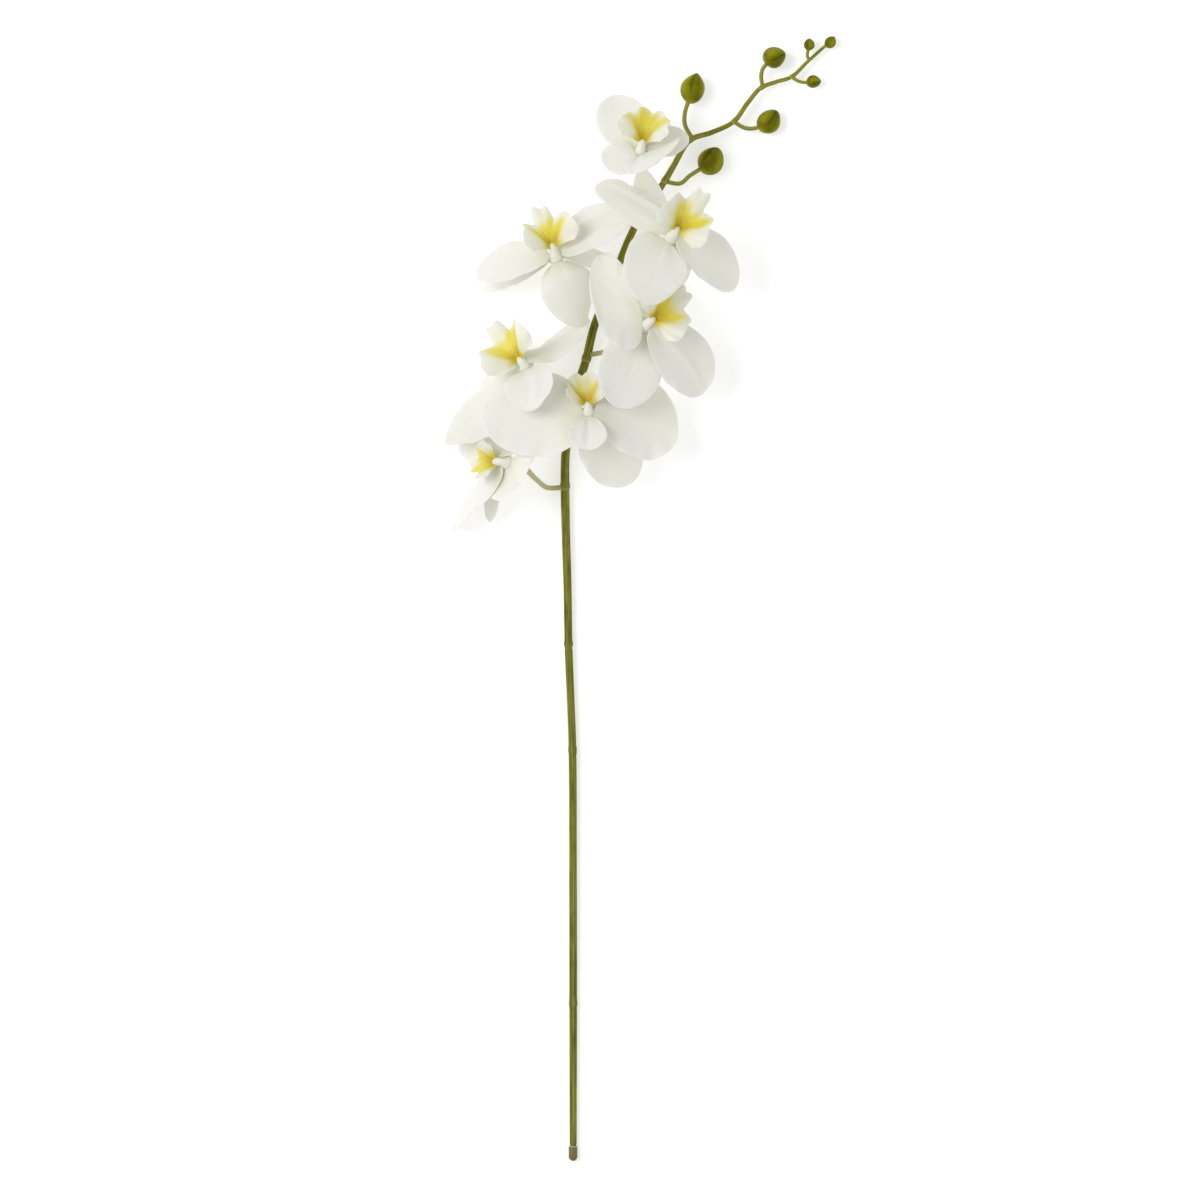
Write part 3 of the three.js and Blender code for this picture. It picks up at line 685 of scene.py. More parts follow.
@made_once("node_groups", "Fluted rod")
def fluted_rod_tree(name):
    """Turns a row of points with a girth at each into a closed rod with lengthwise flutes."""
    inputs = {"Path": "NodeSocketGeometry", "Sides": 32, "Flutes": 5, "Flute depth": 0.05,
              "Skin": "NodeSocketMaterial"}
    t, given, out = new_group("GeometryNodeTree", name, inputs, {"Rod": "NodeSocketGeometry"})

    def stored(geometry, label, value, kind):
        inputs = {"Geometry": geometry, "Name": label, "Value": value}
        return t.made("GeometryNodeStoreNamedAttribute", inputs, data_type=kind, domain="POINT")

    circle = t.made("GeometryNodeCurvePrimitiveCircle", {"Resolution": given["Sides"], "Radius": 1.0})
    place = t.made("GeometryNodeInputPosition")
    xyz = t.add("ShaderNodeSeparateXYZ", {"Vector": place}).outputs
    ridge = t.math("COSINE", t.times(t.math("ARCTAN2", xyz["Y"], xyz["X"]), given["Flutes"]))
    marked = stored(stored(circle, "ridge", ridge, "FLOAT"), "around", place, "FLOAT_VECTOR")
    depth = t.times(ridge, given["Flute depth"])
    offset = t.made("ShaderNodeVectorMath", {"Vector": place, "Scale": depth}, operation="SCALE")
    profile = t.made("GeometryNodeSetPosition", {"Geometry": marked, "Offset": offset})
    path = t.made("GeometryNodeMeshToCurve", {"Mesh": given["Path"]})
    girth = t.made("GeometryNodeInputNamedAttribute", {"Name": "girth"}, data_type="FLOAT")
    body = t.made("GeometryNodeCurveToMesh",
                  {"Curve": path, "Profile Curve": profile, "Scale": girth, "Fill Caps": True})
    smooth = t.made("GeometryNodeSetShadeSmooth", {"Geometry": body})
    real = t.made("GeometryNodeRealizeInstances", {"Geometry": smooth})
    t.feed(out["Rod"], t.made("GeometryNodeSetMaterial", {"Geometry": real, "Material": given["Skin"]}))
    return t.tree


def rod_mesh(name, line, girth, values, skin, sides, flutes=STALK_FLUTES, depth=STALK_FLUTE_DEPTH):
    """A fluted rod along a line, as a plain closed mesh."""
    path = bpy.data.meshes.new(name)
    path.from_pydata((line * MM).tolist(), [(i, i + 1) for i in range(len(line) - 1)], [])
    set_values(path, {**values, "girth": girth * MM, "run": lengths_along(line * MM)})
    holder = linked(name, path)
    tree = fluted_rod_tree()
    shape = holder.modifiers.new("Fluted rod", "NODES")
    shape.node_group = tree
    wanted = {"Sides": sides, "Flutes": flutes, "Flute depth": depth, "Skin": skin}
    for socket in tree.interface.items_tree:
        if socket.in_out == "INPUT" and socket.name in wanted:
            shape[socket.identifier] = wanted[socket.name]
    made = holder.evaluated_get(bpy.context.evaluated_depsgraph_get())
    mesh = bpy.data.meshes.new_from_object(made)
    bpy.data.objects.remove(holder)
    bpy.data.meshes.remove(path)
    mesh.name = name
    if not mesh.polygons:
        raise RuntimeError(f"{name} has no faces")
    return mesh


# Flowers

def flower_axes(flower):
    """The way a flower faces, and its lip's forward, side and up."""
    face = unit(flower["face"])
    down = unit(np.array(flower["lip"], float) - face * face.dot(flower["lip"]))
    across = np.cross(down, face)
    forward = turned(down, across, math.radians(flower["lift"]))
    side = turned(across, forward, math.radians(flower["roll"]))
    return face, forward, side, np.cross(side, forward)


def tepal_half_width(tepal, u):
    u = np.clip(u, 0, 1)
    belly = np.clip(1 - (2 * u ** tepal["peak"] - 1) ** 2, 0, 1)
    foot = CLAW_HALF_WIDTH * (1 - u) ** 3 + TIP_HALF_WIDTH * u
    return foot + tepal["wide"] / 2 * belly ** tepal["round"]


def tepal_middle(flower, tepal, u, v):
    """Points of a tepal's middle surface, where u runs from claw to tip and v from edge to edge."""
    heart, tip, bow = (np.array(p, float) for p in (flower["heart"], tepal["tip"], tepal["bow"]))
    face = unit(flower["face"])
    middle = (heart + tip) / 2 + bow
    start = middle - heart
    start = unit(start - face * face.dot(start))
    claw = heart + start * (HEART_RADIUS + CLAW_GAP) + face * tepal["layer"]
    u, v = np.broadcast_arrays(u, v)
    s = u[..., None]
    line = (1 - s) ** 2 * claw + 2 * s * (1 - s) * middle + s ** 2 * tip
    tangent = unit((1 - s) * (middle - claw) + s * (tip - middle))
    normal = unit(face - tangent * (tangent * face).sum(-1, keepdims=True))
    normal = turned(normal, tangent, math.radians(tepal["turn"]) * eased(u, 0, TURN_DONE))
    across = np.cross(normal, tangent)
    half = tepal_half_width(tepal, u) * (1 + tepal["lean"] * np.sign(v))
    cup = math.radians(tepal["cup"])
    fold = math.sin(math.radians(tepal["fold"])) * eased(u, 0, SHAPED_FROM) * (1 - np.clip(u, 0, 1) ** 3)
    drop = fold * (np.hypot(v, FOLD_WIDTH) - FOLD_WIDTH)
    return moved(line, (tangent, -half * v * tepal["skew"]), (across, half * np.sin(cup * v) / cup),
                 (normal, half * ((1 - np.cos(cup * v)) / cup - drop)))


def normals_of(surface, u, v, step=0.004):
    """Which way a surface of two numbers faces, by small steps on it."""
    onward = surface(u + step, v) - surface(u - step, v)
    across = surface(u, v + step) - surface(u, v - step)
    return unit(np.cross(onward, across))


def tepal_mesh(name, flower, tepal, settings, phase):
    """One tepal: a thin blade with a rounded rim, a groove on its midrib and a waved edge."""
    length = np.linalg.norm(np.subtract(tepal["tip"], flower["heart"]))
    root = -CLAW_ROOT / length
    u = np.concatenate([[root], np.sin(np.linspace(0, math.pi / 2, TEPAL_ROWS))])[:, None]
    v = np.sin(np.linspace(-math.pi / 2, math.pi / 2, TEPAL_COLUMNS + 1))[None, :]

    def surface(u, v):
        return tepal_middle(flower, tepal, u, v)

    middle = surface(u, v)
    normal = normals_of(surface, u, np.clip(v, -0.99, 0.99))
    u, v = np.broadcast_arrays(u, v)
    half = tepal_half_width(tepal, u)
    aside = v * half
    grown = eased(u, 0.12, 0.5) * (1 - eased(u, 0.93, 1.0) * 0.6)
    breadth = tepal["wide"] / USUAL_WIDTH
    waves = np.sin(2 * math.pi * (settings.waves * u + phase) + 1.3 * v)
    waves += 0.5 * np.sin(2 * math.pi * (2.3 * settings.waves * u + 2 * phase) - 2 * v)
    edge = settings.ruffle / MM * breadth * grown * np.abs(v) ** 3 * waves
    swell = settings.swell / MM * breadth * grown * np.sin(math.pi * (1.6 * u + phase))
    swell = swell * np.cos(2.2 * v + 5 * phase)
    roll = -settings.rim_roll / MM * grown * np.abs(v) ** 10
    spread = np.arctan2(aside, u * length + 5.0)
    outward = math.copysign(0.5, tepal["layer"]) * (1 + np.sin(9 * spread + 7 * phase))
    pucker = settings.pucker / MM * breadth * hump(u, 0.2, 0.2) * outward
    crease = np.zeros_like(u)
    for place, depth, width in tepal["creases"]:
        crease = crease + depth * hump(v, place, width) * eased(u, 0.05, 0.25) * (1 - eased(u, 0.7, 1.0))
    middle = moved(middle, (normal, edge + swell + roll + pucker + crease))
    rim = rounded(settings.rim / MM, (1 - np.abs(v)) * half, (1 - u) * length, (u - root) * length)
    claw = 1 + ROOT_SWELL * (1 - eased(u, 0.0, 0.16))
    thick = settings.thickness / MM / 2 * (1 - 0.5 * v ** 2) * rim * claw
    rib = hump(aside, 0, MIDRIB_WIDTH) * eased(u, 0.02, 0.12) * (1 - eased(u, 0.6, 0.95)) * rim
    groove = settings.groove / MM * rib
    front, back = moved(middle, (normal, thick - groove)), moved(middle, (-normal, thick + 0.8 * groove))
    fan = np.arctan2(aside, u * length + 3.0) + phase
    return closed_sheet(name, front, back, {"along": (u, u), "aside": (v, v), "fan": (fan, fan)})


def lip_reach(flower, angle):
    """How far a flower's lip reaches at an angle from its middle lobe."""
    long, broad = flower["lobe"]
    reach = LIP_REACH + long * hump(angle, 0, broad, 4)
    for place, more, breadth, power in LIP_LOBES:
        reach = reach + more * hump(np.abs(angle), place, breadth, power)
    return reach * flower["size"]


def lip_point(flower, axes, settings, angle, share):
    """Points of a lip's middle surface, by the angle from its middle lobe and the share of its reach."""
    face, forward, side, up = axes
    foot = np.array(flower["heart"], float) + forward * (HEART_RADIUS + LIP_GAP) + face * LIP_LAYER
    to_side = eased(np.abs(angle), *LIP_SIDES)
    flare = settings.side_flare * to_side + settings.tip_droop * (1 - to_side)
    rise = LIP_RISE + LIP_STEEPER * to_side - flower["flare"] * flare * (share ** 2 - LIP_LEVEL)
    notch = 1 - LIP_NOTCH * hump(angle, 0, 5) * eased(share, 0.5, 1)
    reach = lip_reach(flower, angle) * share * notch
    turn, rise = np.radians(angle), np.radians(rise)
    flat = reach * np.cos(rise)
    return moved(foot, (forward, flat * np.cos(turn)), (side, flat * np.sin(turn)),
                 (up, reach * np.sin(rise)))


def lip_mesh(name, flower, settings, phase):
    """One lip: a cup of two side lobes and a notched middle lobe, with a pair of bumps in its throat."""
    axes = flower_axes(flower)
    angle = np.linspace(-LIP_WIDEST, LIP_WIDEST, LIP_ROWS)[:, None]
    share = LIP_FOOT + (1 - LIP_FOOT) * np.sin(np.linspace(0, math.pi / 2, LIP_COLUMNS))[None, :]

    def surface(u, v):
        return lip_point(flower, axes, settings, u * LIP_WIDEST, v)

    middle = surface(angle / LIP_WIDEST, share)
    normal = normals_of(surface, np.clip(angle / LIP_WIDEST, -0.99, 0.99), np.clip(share, 0.02, 0.99))
    angle, share = np.broadcast_arrays(angle, share)
    reach = lip_reach(flower, angle) * share
    wave = np.sin(np.radians(angle * 9) + 6 * phase) + 0.5 * np.sin(np.radians(angle * 17) + 9 * phase)
    ruffle = settings.ruffle / MM * share ** 5 * wave
    folds = sum(hump(np.abs(angle), place, breadth) for place, breadth in PLEATS)
    pleats = settings.pleat / MM * folds * eased(share, 0.15, 0.7)
    bumps = settings.callus / MM * (hump(angle, BUMP_ANGLE, 13) + hump(angle, -BUMP_ANGLE, 13))
    middle = moved(middle, (normal, ruffle + pleats))
    rim = rounded(settings.rim / MM, (1 - share) * reach / share, (share - LIP_FOOT) * reach / share,
                  np.radians(LIP_WIDEST - np.abs(angle)) * reach)
    thick = settings.thickness / MM / 2 * (1 - 0.35 * share ** 2) * rim
    front = moved(middle, (normal, thick + bumps * hump(reach, BUMP_PLACE, 2.2) * rim))
    back = moved(middle, (-normal, thick))
    yolk, amber = lip_paint(angle, share, reach, flower, phase)
    fan = np.radians(angle) + phase
    values = {"fan": (fan, fan), "yolk": (yolk, 0.22 * yolk), "amber": (amber, np.zeros_like(amber))}
    return closed_sheet(name, front, back, values)


def lip_paint(angle, share, reach, flower, phase):
    """How yellow and how deep a yellow the inside of a lip is: all of the throat, the small lobes beside
    the middle one nearly to their rims, and a little way up the others."""
    sway = 4.0 * np.sin(reach * 0.25 + 9 * phase)
    edge = 0.06 * np.sin(np.radians(angle * 7) + 8 * phase)
    edge = edge + 0.04 * np.sin(np.radians(angle * 15) + 3 * phase)
    foot = 1 - eased(reach, 4.0, 10.0)
    out = flower["yolk"]
    throat = hump(angle, 0, 58, 6) * (1 - eased(reach * (1 + 2 * edge), out, out + 8.0))
    throat = throat * (1 - (1 - flower["gold"]) * hump(angle, 0, 26, 4))
    side = 1 - 0.55 * eased(angle * math.copysign(1, phase - 0.5), -20, 20)
    folds = side * hump(np.abs(angle + sway), 36, 14, 4) * (1 - eased(share + edge, 0.72, 1.0))
    wash = 0.16 * (1 - eased(share, 0.45, 0.95))
    amber = 0.85 * (1 - eased(reach, 3.5, 12.0)) + 0.3 * folds * (1 - eased(share, 0.3, 0.8))
    return np.clip(np.maximum.reduce([foot, throat, folds, wash]), 0, 1), np.clip(amber, 0, 1)


def column_mesh(name, flower, settings):
    """The column that arches over the lip, on the knob that carries the tepals."""
    face, forward, side = flower_axes(flower)[:3]
    heart = np.array(flower["heart"], float)
    line = smooth_line([heart + face * h + forward * f for h, f, r in COLUMN], steps=5)
    share = np.linspace(0, len(COLUMN) - 1, len(line))
    radius = np.interp(share, np.arange(len(COLUMN)), [r for h, f, r in COLUMN])
    tangents = directions_along(line)
    arms = arms_along(line, side)
    turn = all_round(COLUMN_SIDES)
    late = eased(share, 4.5, 6.5)[:, None]
    under = hump(np.degrees(np.arccos(np.clip(np.sin(turn), -1, 1))), 0, 42)
    ring = radius[:, None] * (1 - settings.hollow * late * under)
    points = round_points(line, ring, turn, arms[:, None], np.cross(tangents, arms)[:, None])
    blush = 0.5 * late * under
    nose = line[-1] + tangents[-1]
    shoulder = line[-1] + tangents[-1] * 0.75 + (points[-1] - line[-1]) * 0.62
    points = np.concatenate([points, shoulder[None]])
    blush = np.concatenate([blush, blush[-1:]])
    return closed_tube(name, points, line[0] - tangents[0] * 0.3, nose, {"blush": blush})


def rooted(route):
    """A stalk's route with its first point moved on into the stem."""
    stem = smooth_line([row[:3] for row in STEM], steps=8)
    first = np.array(route[0], float)
    nearest = stem[np.argmin(np.linalg.norm(stem - first, axis=1))]
    return [tuple(first + (nearest - first) * STALK_ROOT), *route[1:]]


def stalk_line(flower):
    """The line and girth of a flower's stalk, from the stem to inside its knob."""
    face = unit(flower["face"])
    heart = np.array(flower["heart"], float)
    *route, last = rooted(flower["route"])
    stations = [(*place, STALK_RADIUS) for place in route] + [(*last, OVARY_RADIUS)]
    for behind, more in ((1.5, 0.35), (0.6, 0.0)):
        stations.append((*(heart - face * behind * KNOB_LENGTH), OVARY_RADIUS + more))
    return line_and_girth(stations, steps=12)


def stem_values(settings):
    """The stem's line, girth and marks: at a ring a swell and a pale line, and under it a dip and a scar."""
    steps = 22
    line, girth = line_and_girth([row[:4] for row in STEM], steps)
    run = lengths_along(line)
    collar = scar = np.zeros_like(run)
    for i, row in enumerate(STEM):
        if row[4:]:
            gap = run - run[i * steps]
            size = row[3] / 2.0
            girth = girth + settings.ring_swell / MM * size * hump(gap, 0.6, 1.5)
            girth = girth - RING_DIP * size * hump(gap, -1.5, 0.45)
            collar = np.maximum(collar, 0.85 * hump(gap, -0.7, 0.5))
            scar = np.maximum(scar, 0.6 * hump(gap, -1.6, 0.5))
    paleness = eased(line[:, 1], 150, 275) * 0.9 + 0.1 * eased(line[:, 1], -300, 0)
    return line, girth, {"paleness": paleness, "collar": collar, "scar": scar}


def bud_mesh(name, foot, tip, wide, lean, point, settings, phase):
    """A bud: an egg of three sepals, with a soft crease where two of them meet."""
    foot, tip = np.array(foot, float), np.array(tip, float)
    middle = (foot + tip) / 2
    length = BUD_LENGTH * np.linalg.norm(tip - foot)
    axis = np.array(Matrix.Rotation(math.radians(lean), 3, "Z") @ Vector(unit(tip - foot)))
    foot, tip = middle - axis * length / 2, middle + axis * length / 2
    share = ((1 - np.cos(np.linspace(0.06, 0.97, BUD_ROWS) * math.pi)) / 2)[:, None]
    turn = all_round(BUD_SIDES)
    fullness = BUD_FULLNESS + point * eased(share, 0.4, 1.0)
    girth = np.clip(np.sin(math.pi * share ** BUD_SKEW), 0, 1) ** fullness * BUD_WIDTH * wide / 2
    side = unit(np.cross(axis, (0.3, 0.1, 1)))
    around = turn + phase * 6.28 + BUD_TWIST * share
    third = np.mod(around, 2 * math.pi / 3) - math.pi / 3
    seam = hump(np.abs(third), math.pi / 3, 0.13) * eased(share, 0.15, 0.6)
    body = eased(share, 0.1, 0.4) * (1 - eased(share, 0.8, 1))
    rib = hump(third, 0, 0.16) * body
    shape = 1 - settings.seam_depth * seam + settings.rib_height * rib + 0.03 * np.cos(3 * around)
    ring = girth * shape * (1 + 0.035 * np.sin(2 * turn + 5 * phase))
    belly = 0.05 * wide * np.sin(math.pi * share)
    centres = foot + axis * (length * share) + side * belly * math.sin(9 * phase)
    points = round_points(centres, ring, turn, side, np.cross(axis, side))
    # A broad band on each sepal is marked for a painted sheen, and the creases for painted shade.
    values = {"seam": 0.75 * seam, "fan": around, "crest": hump(third, 0.25, 0.42) * body,
              "foot": (1 - eased(share, 0.02, 0.16)) * 0.8}
    return closed_tube(name, points, foot, tip, values)


def cap_mesh(name):
    """A cup over the cut end, open towards the flowers, with a rounded nose and a soft mouth."""
    low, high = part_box("stem_end_cap")
    x, z = (low.x + high.x) / 2 / MM, (low.z + high.z) / 2 / MM
    length, radius = (high.y - low.y) / MM, (high.z - low.z) / 2 / MM
    bore, half = radius - CAP_WALL, CAP_WALL / 2
    nose = [(radius * math.sin(a), CAP_NOSE - CAP_NOSE * math.cos(a))
            for a in np.linspace(0.12, math.pi / 2, 10)]
    mouth = [(bore + half + half * math.cos(a), length - half + half * math.sin(a))
             for a in np.linspace(0, math.pi, 9)]
    inside = [(bore, length - 2.0), (bore, 3.2), (bore * 0.8, 2.4), (bore * 0.4, CAP_FLOOR)]
    outline = np.array(nose + [(radius, 4.2), (radius, length - 1.2)] + mouth + inside)
    out, up = outline[:, :1], outline[:, 1:]
    turn = all_round(CAP_SIDES)
    dip = np.abs(CAP_WAVE * np.sin(2 * turn) * eased(up, length - 1.5, length))
    points = np.stack([x + out * np.cos(turn), low.y / MM + up - dip, z + out * -np.sin(turn)], -1)
    rim = eased(up, length - 1.1, length - 0.4)
    return closed_tube(name, points, (x, low.y / MM, z), (x, low.y / MM + CAP_FLOOR, z), {"lip": rim})


# Properties

def size(name, description, default):
    return FloatProperty(name=name, description=description, default=default, unit="LENGTH",
                         precision=5, min=0.0)


def share_of(name, description, default, **limits):
    return FloatProperty(name=name, description=description, default=default, **limits)


def colour(name, description, default):
    return FloatVectorProperty(name=name, description=description, default=(*default, 1.0),
                               subtype="COLOR", size=4, min=0.0, max=1.0)


class OrchidTepals(PropertyGroup):
    thickness: size("Thickness", "Thickness of a tepal at its middle", 0.0009)
    rim: size("Rim", "How far in from its edge a tepal is rounded", 0.0004)
    groove: size("Groove", "Depth of the groove along the midrib", 0.00025)
    ruffle: size("Ruffle", "Height of the waves of the edge", 0.0006)
    swell: size("Swell", "Height of the slow waves of the blade", 0.0005)
    pucker: size("Pucker", "Height of the soft folds that spread from the heart", 0.0004)
    rim_roll: size("Rim roll", "How far the edge rolls back", 0.0006)
    waves: share_of("Waves", "Waves along one edge", 2.2)
    white: colour("White", "Petal white", (0.86, 0.85, 0.78))
    shade: colour("Shade", "White of the cloudier patches", (0.80, 0.80, 0.715))
    # Partly a greenish tint and partly painted shade near the heart.
    claw: colour("Claw", "Greenish white near the heart", (0.74, 0.74, 0.60))
    # Painted light along the thin edge.
    painted_rim_light: colour("Rim white", "White of the thin edge", (0.88, 0.87, 0.84))
    vein: colour("Vein", "Colour of the fine veins", (0.70, 0.70, 0.63))
    vein_strength: share_of("Vein strength", "How much the veins colour the blade", 0.14, min=0, max=1)
    vein_sway: share_of("Vein sway", "How far the veins wander", 0.35)
    vein_depth: size("Vein depth", "Depth of the veins in the skin", 0.00002)


class OrchidLips(PropertyGroup):
    thickness: size("Thickness", "Thickness of a lip at its foot", 0.0009)
    rim: size("Rim", "How far in from its edge a lip is rounded", 0.0004)
    ruffle: size("Ruffle", "Height of the waves of the rim", 0.0006)
    pleat: size("Pleat", "Height of the folds between the lobes", 0.0006)
    callus: size("Callus", "Height of the two bumps in the throat", 0.0009)
    side_flare: share_of("Side flare", "How far the side lobes open out at their rims, in degrees", 12.0)
    tip_droop: share_of("Tip droop", "How far the middle lobe curls down, in degrees", 14.0)
    hollow: share_of("Column hollow", "Depth of the hollow under the column", 0.35, min=0, max=0.6)
    white: colour("White", "White of the lobes", (0.84, 0.83, 0.74))
    cream: colour("Cream", "Cream of the cloudier patches", (0.82, 0.80, 0.62))
    yellow: colour("Yellow", "Yellow of the throat and the folds", (0.77, 0.66, 0.05))
    amber: colour("Amber", "Deep yellow at the foot of the throat", (0.60, 0.47, 0.012))


class OrchidStem(PropertyGroup):
    flutes: IntProperty(name="Flutes", description="Lengthwise flutes of the stem", default=5, min=3)
    flute_depth: share_of("Flute depth", "Depth of a flute as a share of the radius", 0.05, min=0, max=0.2)
    ring_swell: size("Ring swell", "How far a ring stands out", 0.00034)
    green: colour("Green", "Green of the lower stem", (0.16, 0.17, 0.011))
    tip_green: colour("Tip green", "Yellower green towards the buds", (0.30, 0.285, 0.02))
    # This green is painted shade in the flutes, and also the colour of random darker patches.
    groove: colour("Groove", "Dark green in the flutes", (0.07, 0.085, 0.004))
    streak: colour("Streak", "Pale lengthwise streaks", (0.40, 0.38, 0.09))
    pale: colour("Pale", "Cream of a flower's stalk near the flower", (0.62, 0.58, 0.36))
    scar: colour("Scar", "Brown line under a ring", (0.10, 0.085, 0.02))


class OrchidBuds(PropertyGroup):
    seam_depth: share_of("Seam depth", "Depth of the creases as a share of the radius", 0.06, min=0, max=0.3)
    rib_height: share_of("Rib height", "Height of the ribs as a share of the radius", 0.03, min=0, max=0.2)
    olive: colour("Olive", "Green of a bud", (0.115, 0.118, 0.001))
    # On a broad band of each sepal this yellower green is a painted sheen.
    light: colour("Light", "Yellower green of its ribs and foot", (0.32, 0.305, 0.006))
    # Painted shade in the creases between the sepals.
    crease_shade: colour("Dark", "Dark green in the creases", (0.05, 0.055, 0.003))


class OrchidCap(PropertyGroup):
    brown: colour("Brown", "Brown of the cap", (0.15, 0.125, 0.035))
    grey: colour("Grey", "Greyer patches of the cap", (0.21, 0.19, 0.085))
    pale: colour("Pale", "Pale mouth of the cap", (0.42, 0.42, 0.26))


class OrchidStage(PropertyGroup):
    floor_width: size("Floor width", "Width of the floor", 80.0)
    floor_white: colour("Floor", "Colour of the floor", (0.80, 0.80, 0.80))
    floor_glow: share_of("Floor glow", "Light that the floor gives off by itself, as a lit table does", 0.55)
    backdrop: colour("Backdrop", "Colour of the light all round", (1.0, 1.0, 1.0))
    ambient: share_of("Ambient", "Strength of the light all round", 0.55)
    key: FloatProperty(name="Key", description="Power of the large light from above", default=40.0,
                       unit="POWER")
    fill: FloatProperty(name="Fill", description="Power of the small light from the other side", default=5.0,
                        unit="POWER")
    camera_height: size("Camera height", "Height of the camera over the floor", 6.0)
    view_width: size("View width", "Width that the camera sees at the middle of the flowers", 0.6384)


SETTINGS = {
    "orchid_tepals": OrchidTepals,
    "orchid_lips": OrchidLips,
    "orchid_stem": OrchidStem,
    "orchid_buds": OrchidBuds,
    "orchid_cap": OrchidCap,
    "orchid_stage": OrchidStage,
}


# Operators

class ORCHID_OT_stem(Operator):
    """Make the ringed stem"""

    bl_idname = "orchid.stem"
    bl_label = "Stem"

    def execute(self, context):
        settings = context.scene.orchid_stem
        line, girth, values = stem_values(settings)
        skin = stem_material(settings)
        mesh = rod_mesh("spray_stem", line, girth, values, skin, STEM_SIDES, settings.flutes,
                        settings.flute_depth)
        add_piece(mesh, skin, "main_stem")
        return {"FINISHED"}


class ORCHID_OT_stalks(Operator):
    """Make the stalks that carry the flowers"""

    bl_idname = "orchid.stalks"
    bl_label = "Flower stalks"

    def execute(self, context):
        skin = stem_material(context.scene.orchid_stem)
        for key, flower in FLOWERS.items():
            line, girth = stalk_line(flower)
            along = np.linspace(0, 1, len(line))
            values = {"paleness": 0.8 + 0.2 * along, "collar": 0.5 + 0.3 * along,
                      "blanch": 0.95 * eased(along, -0.1, 0.32)}
            mesh = rod_mesh(f"{key}_pedicel", line, girth, values, skin, STALK_SIDES)
            add_piece(mesh, skin, f"{key}_stalk")
        return {"FINISHED"}


class ORCHID_OT_columns(Operator):
    """Make the white columns at the hearts of the flowers"""

    bl_idname = "orchid.columns"
    bl_label = "Columns"

    def execute(self, context):
        settings = context.scene.orchid_lips
        wax = column_material(settings)
        for key, flower in FLOWERS.items():
            add_piece(column_mesh(f"{key}_column", flower, settings), wax, f"{key}_stalk")
        return {"FINISHED"}


class ORCHID_OT_tepals(Operator):
    """Make the petals and sepals"""

    bl_idname = "orchid.tepals"
    bl_label = "Petals and sepals"

    def execute(self, context):
        settings = context.scene.orchid_tepals
        wax = {"petal": tepal_material("petal wax", settings, count=75.0),
               "sepal": tepal_material("sepal wax", settings, count=55.0)}
        parts = [(key, part) for key, flower in FLOWERS.items() for part in flower["tepals"]]
        for count, (key, part) in enumerate(parts):
            flower = FLOWERS[key]
            tepal, kind = flower["tepals"][part], part.split("_")[1]
            mesh = tepal_mesh(f"{key}_{part}_blade", flower, tepal, settings, phase_of(count))
            add_piece(mesh, wax[kind], f"{key}_{part}")
        return {"FINISHED"}


class ORCHID_OT_lips(Operator):
    """Make the lips"""

    bl_idname = "orchid.lips"
    bl_label = "Lips"

    def execute(self, context):
        settings = context.scene.orchid_lips
        wax = lip_material(settings)
        for count, (key, flower) in enumerate(FLOWERS.items()):
            mesh = lip_mesh(f"{key}_lip_cup", flower, settings, phase_of(count))
            add_piece(mesh, wax, f"{key}_lip")
        return {"FINISHED"}


class ORCHID_OT_buds(Operator):
    """Make the buds and their stalks"""

    bl_idname = "orchid.buds"
    bl_label = "Buds"

    def execute(self, context):
        settings = context.scene.orchid_buds
        skin = bud_material(settings)
        stalk_skin = stem_material(context.scene.orchid_stem)
        values = {"paleness": 0.9, "collar": 0.35}
        for count, (key, (route, tip, wide, thick, lean, point)) in enumerate(BUDS.items()):
            mesh = bud_mesh(f"{key}_egg", route[-1], tip, wide, lean, point, settings, phase_of(count))
            add_piece(mesh, skin, key)
            beyond = np.array(route[-1]) + (np.array(tip) - route[-1]) * BUD_SEATED
            line = smooth_line([*rooted(route), beyond], steps=10)
            girth = thick * (1 + 0.25 * eased(np.linspace(0, 1, len(line)), 0.7, 1.0))
            mesh = rod_mesh(f"{key}_pedicel", line, girth, values, stalk_skin, BUD_STALK_SIDES)
            add_piece(mesh, stalk_skin, key)
        return {"FINISHED"}


class ORCHID_OT_cap(Operator):
    """Make the cap over the cut end"""

    bl_idname = "orchid.cap"
    bl_label = "Cap"

    def execute(self, context):
        add_piece(cap_mesh("cut_end_cap"), cap_material(context.scene.orchid_cap), "stem_end_cap")
        return {"FINISHED"}


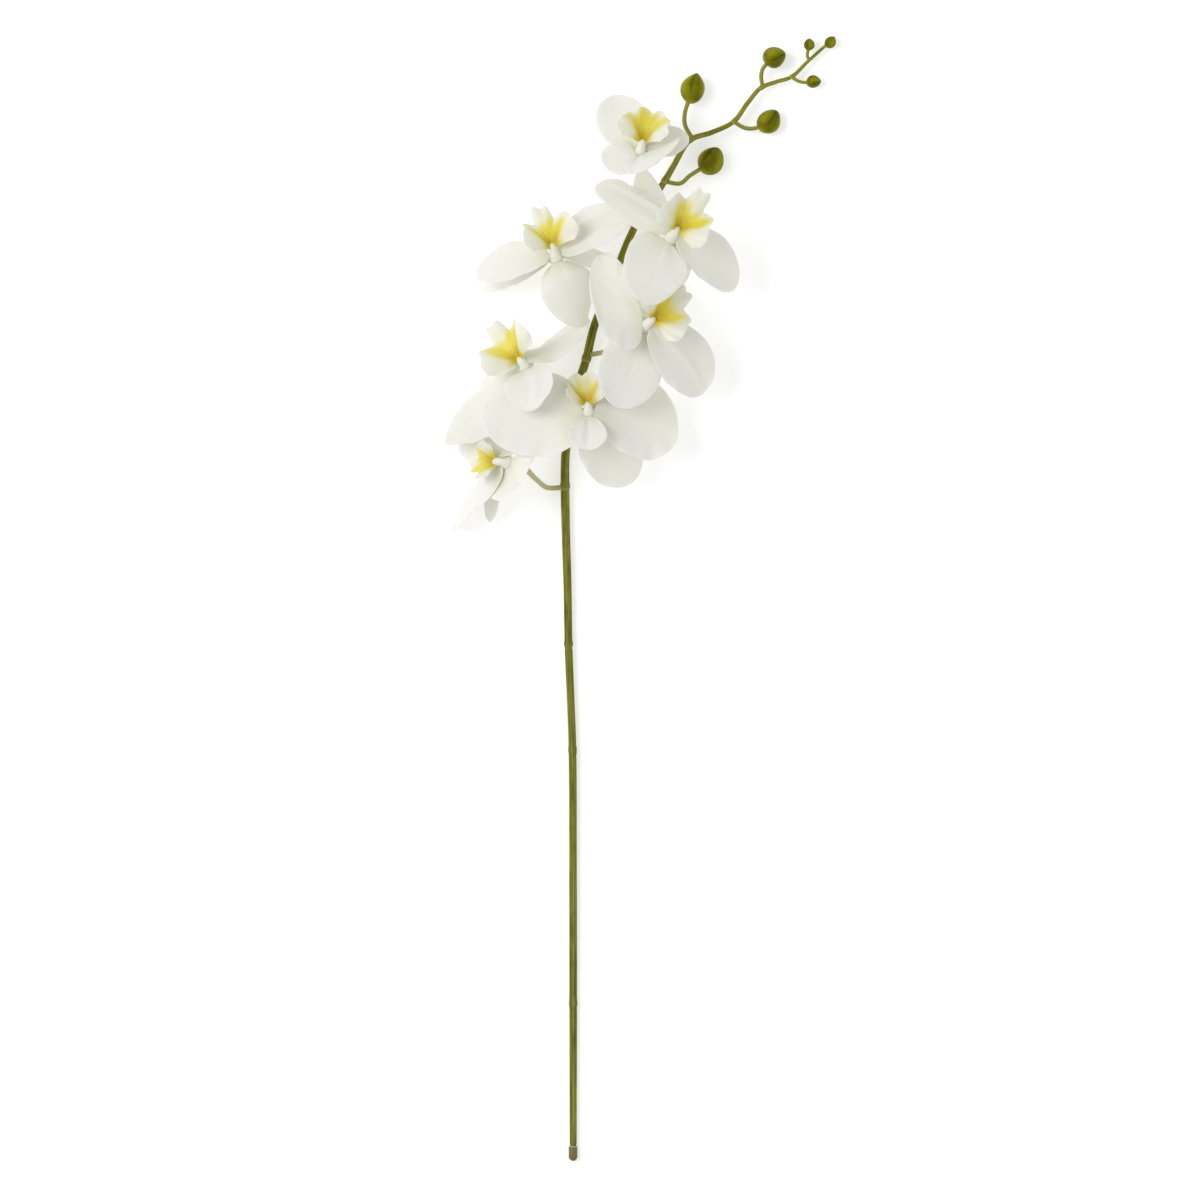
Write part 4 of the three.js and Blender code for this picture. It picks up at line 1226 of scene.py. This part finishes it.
class ORCHID_OT_stage(Operator):
    """Set out the floor, the lights and the camera"""

    bl_idname = "orchid.stage"
    bl_label = "Stage"

    def execute(self, context):
        settings = context.scene.orchid_stage
        self.add_floor(settings)
        self.add_lights(context.scene, settings)
        self.add_camera(context.scene, settings)
        return {"FINISHED"}

    def add_floor(self, settings):
        half = settings.floor_width / 2
        mesh = bpy.data.meshes.new("floor")
        places = [(x * half, y * half, -FLOOR_DEPTH) for x, y in ((-1, -1), (1, -1), (1, 1), (-1, 1))]
        mesh.from_pydata(places, [], [(0, 1, 2, 3)])
        floor = linked("floor", mesh)
        paint = Skin("floor paint", roughness=0.9, specular=0.1)
        for key in ("Base Color", "Emission Color"):
            paint.feed(paint.shader[key], settings.floor_white)
        paint.feed(paint.shader["Emission Strength"], settings.floor_glow)
        mesh.materials.append(paint.material)

    def add_lights(self, scene, settings):
        world = bpy.data.worlds.new("studio")
        world.use_nodes = True
        backdrop = world.node_tree.nodes["Background"].inputs
        backdrop["Color"].default_value = settings.backdrop
        backdrop["Strength"].default_value = settings.ambient
        scene.world = world
        for name, (place, width) in LAMPS.items():
            light = bpy.data.lights.new(name, "AREA")
            light.energy = getattr(settings, name)
            light.size = width
            lamp = linked(name, light)
            lamp.location = place
            lamp.rotation_mode = "QUATERNION"
            lamp.rotation_quaternion = Vector(np.subtract(LAMP_AIM, place)).to_track_quat("-Z", "Y")

    def add_camera(self, scene, settings):
        lens = bpy.data.cameras.new("camera")
        camera = linked("camera", lens)
        height = settings.camera_height
        lens.lens = lens.sensor_width * (height - VIEW_HEIGHT) / settings.view_width
        lens.clip_end = 200
        camera.location = (*VIEW_MIDDLE, height)
        scene.camera = camera
        scene.view_settings.view_transform = "Standard"


class ORCHID_PT_panel(Panel):
    bl_label = "Moth orchid spray"
    bl_idname = "ORCHID_PT_panel"
    bl_space_type = "VIEW_3D"
    bl_region_type = "UI"
    bl_category = "Orchid"

    def draw(self, context):
        for operator in STEPS:
            self.layout.operator(operator.bl_idname)
        for key, kind in SETTINGS.items():
            box = self.layout.box()
            box.label(text=key.replace("_", " ").capitalize())
            for name in kind.__annotations__:
                box.prop(getattr(context.scene, key), name)


STEPS = [ORCHID_OT_stage, ORCHID_OT_stem, ORCHID_OT_stalks, ORCHID_OT_columns, ORCHID_OT_tepals,
         ORCHID_OT_lips, ORCHID_OT_buds, ORCHID_OT_cap]
CLASSES = [*SETTINGS.values(), *STEPS, ORCHID_PT_panel]


def register():
    for kind in CLASSES:
        bpy.utils.register_class(kind)
    for key, kind in SETTINGS.items():
        setattr(bpy.types.Scene, key, PointerProperty(type=kind))


def unregister():
    for key in SETTINGS:
        delattr(bpy.types.Scene, key)
    for kind in reversed(CLASSES):
        bpy.utils.unregister_class(kind)


def main():
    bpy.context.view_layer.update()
    register()
    for step in STEPS:
        group, name = step.bl_idname.split(".")
        getattr(getattr(bpy.ops, group), name)()


if __name__ == "__main__":
    main()
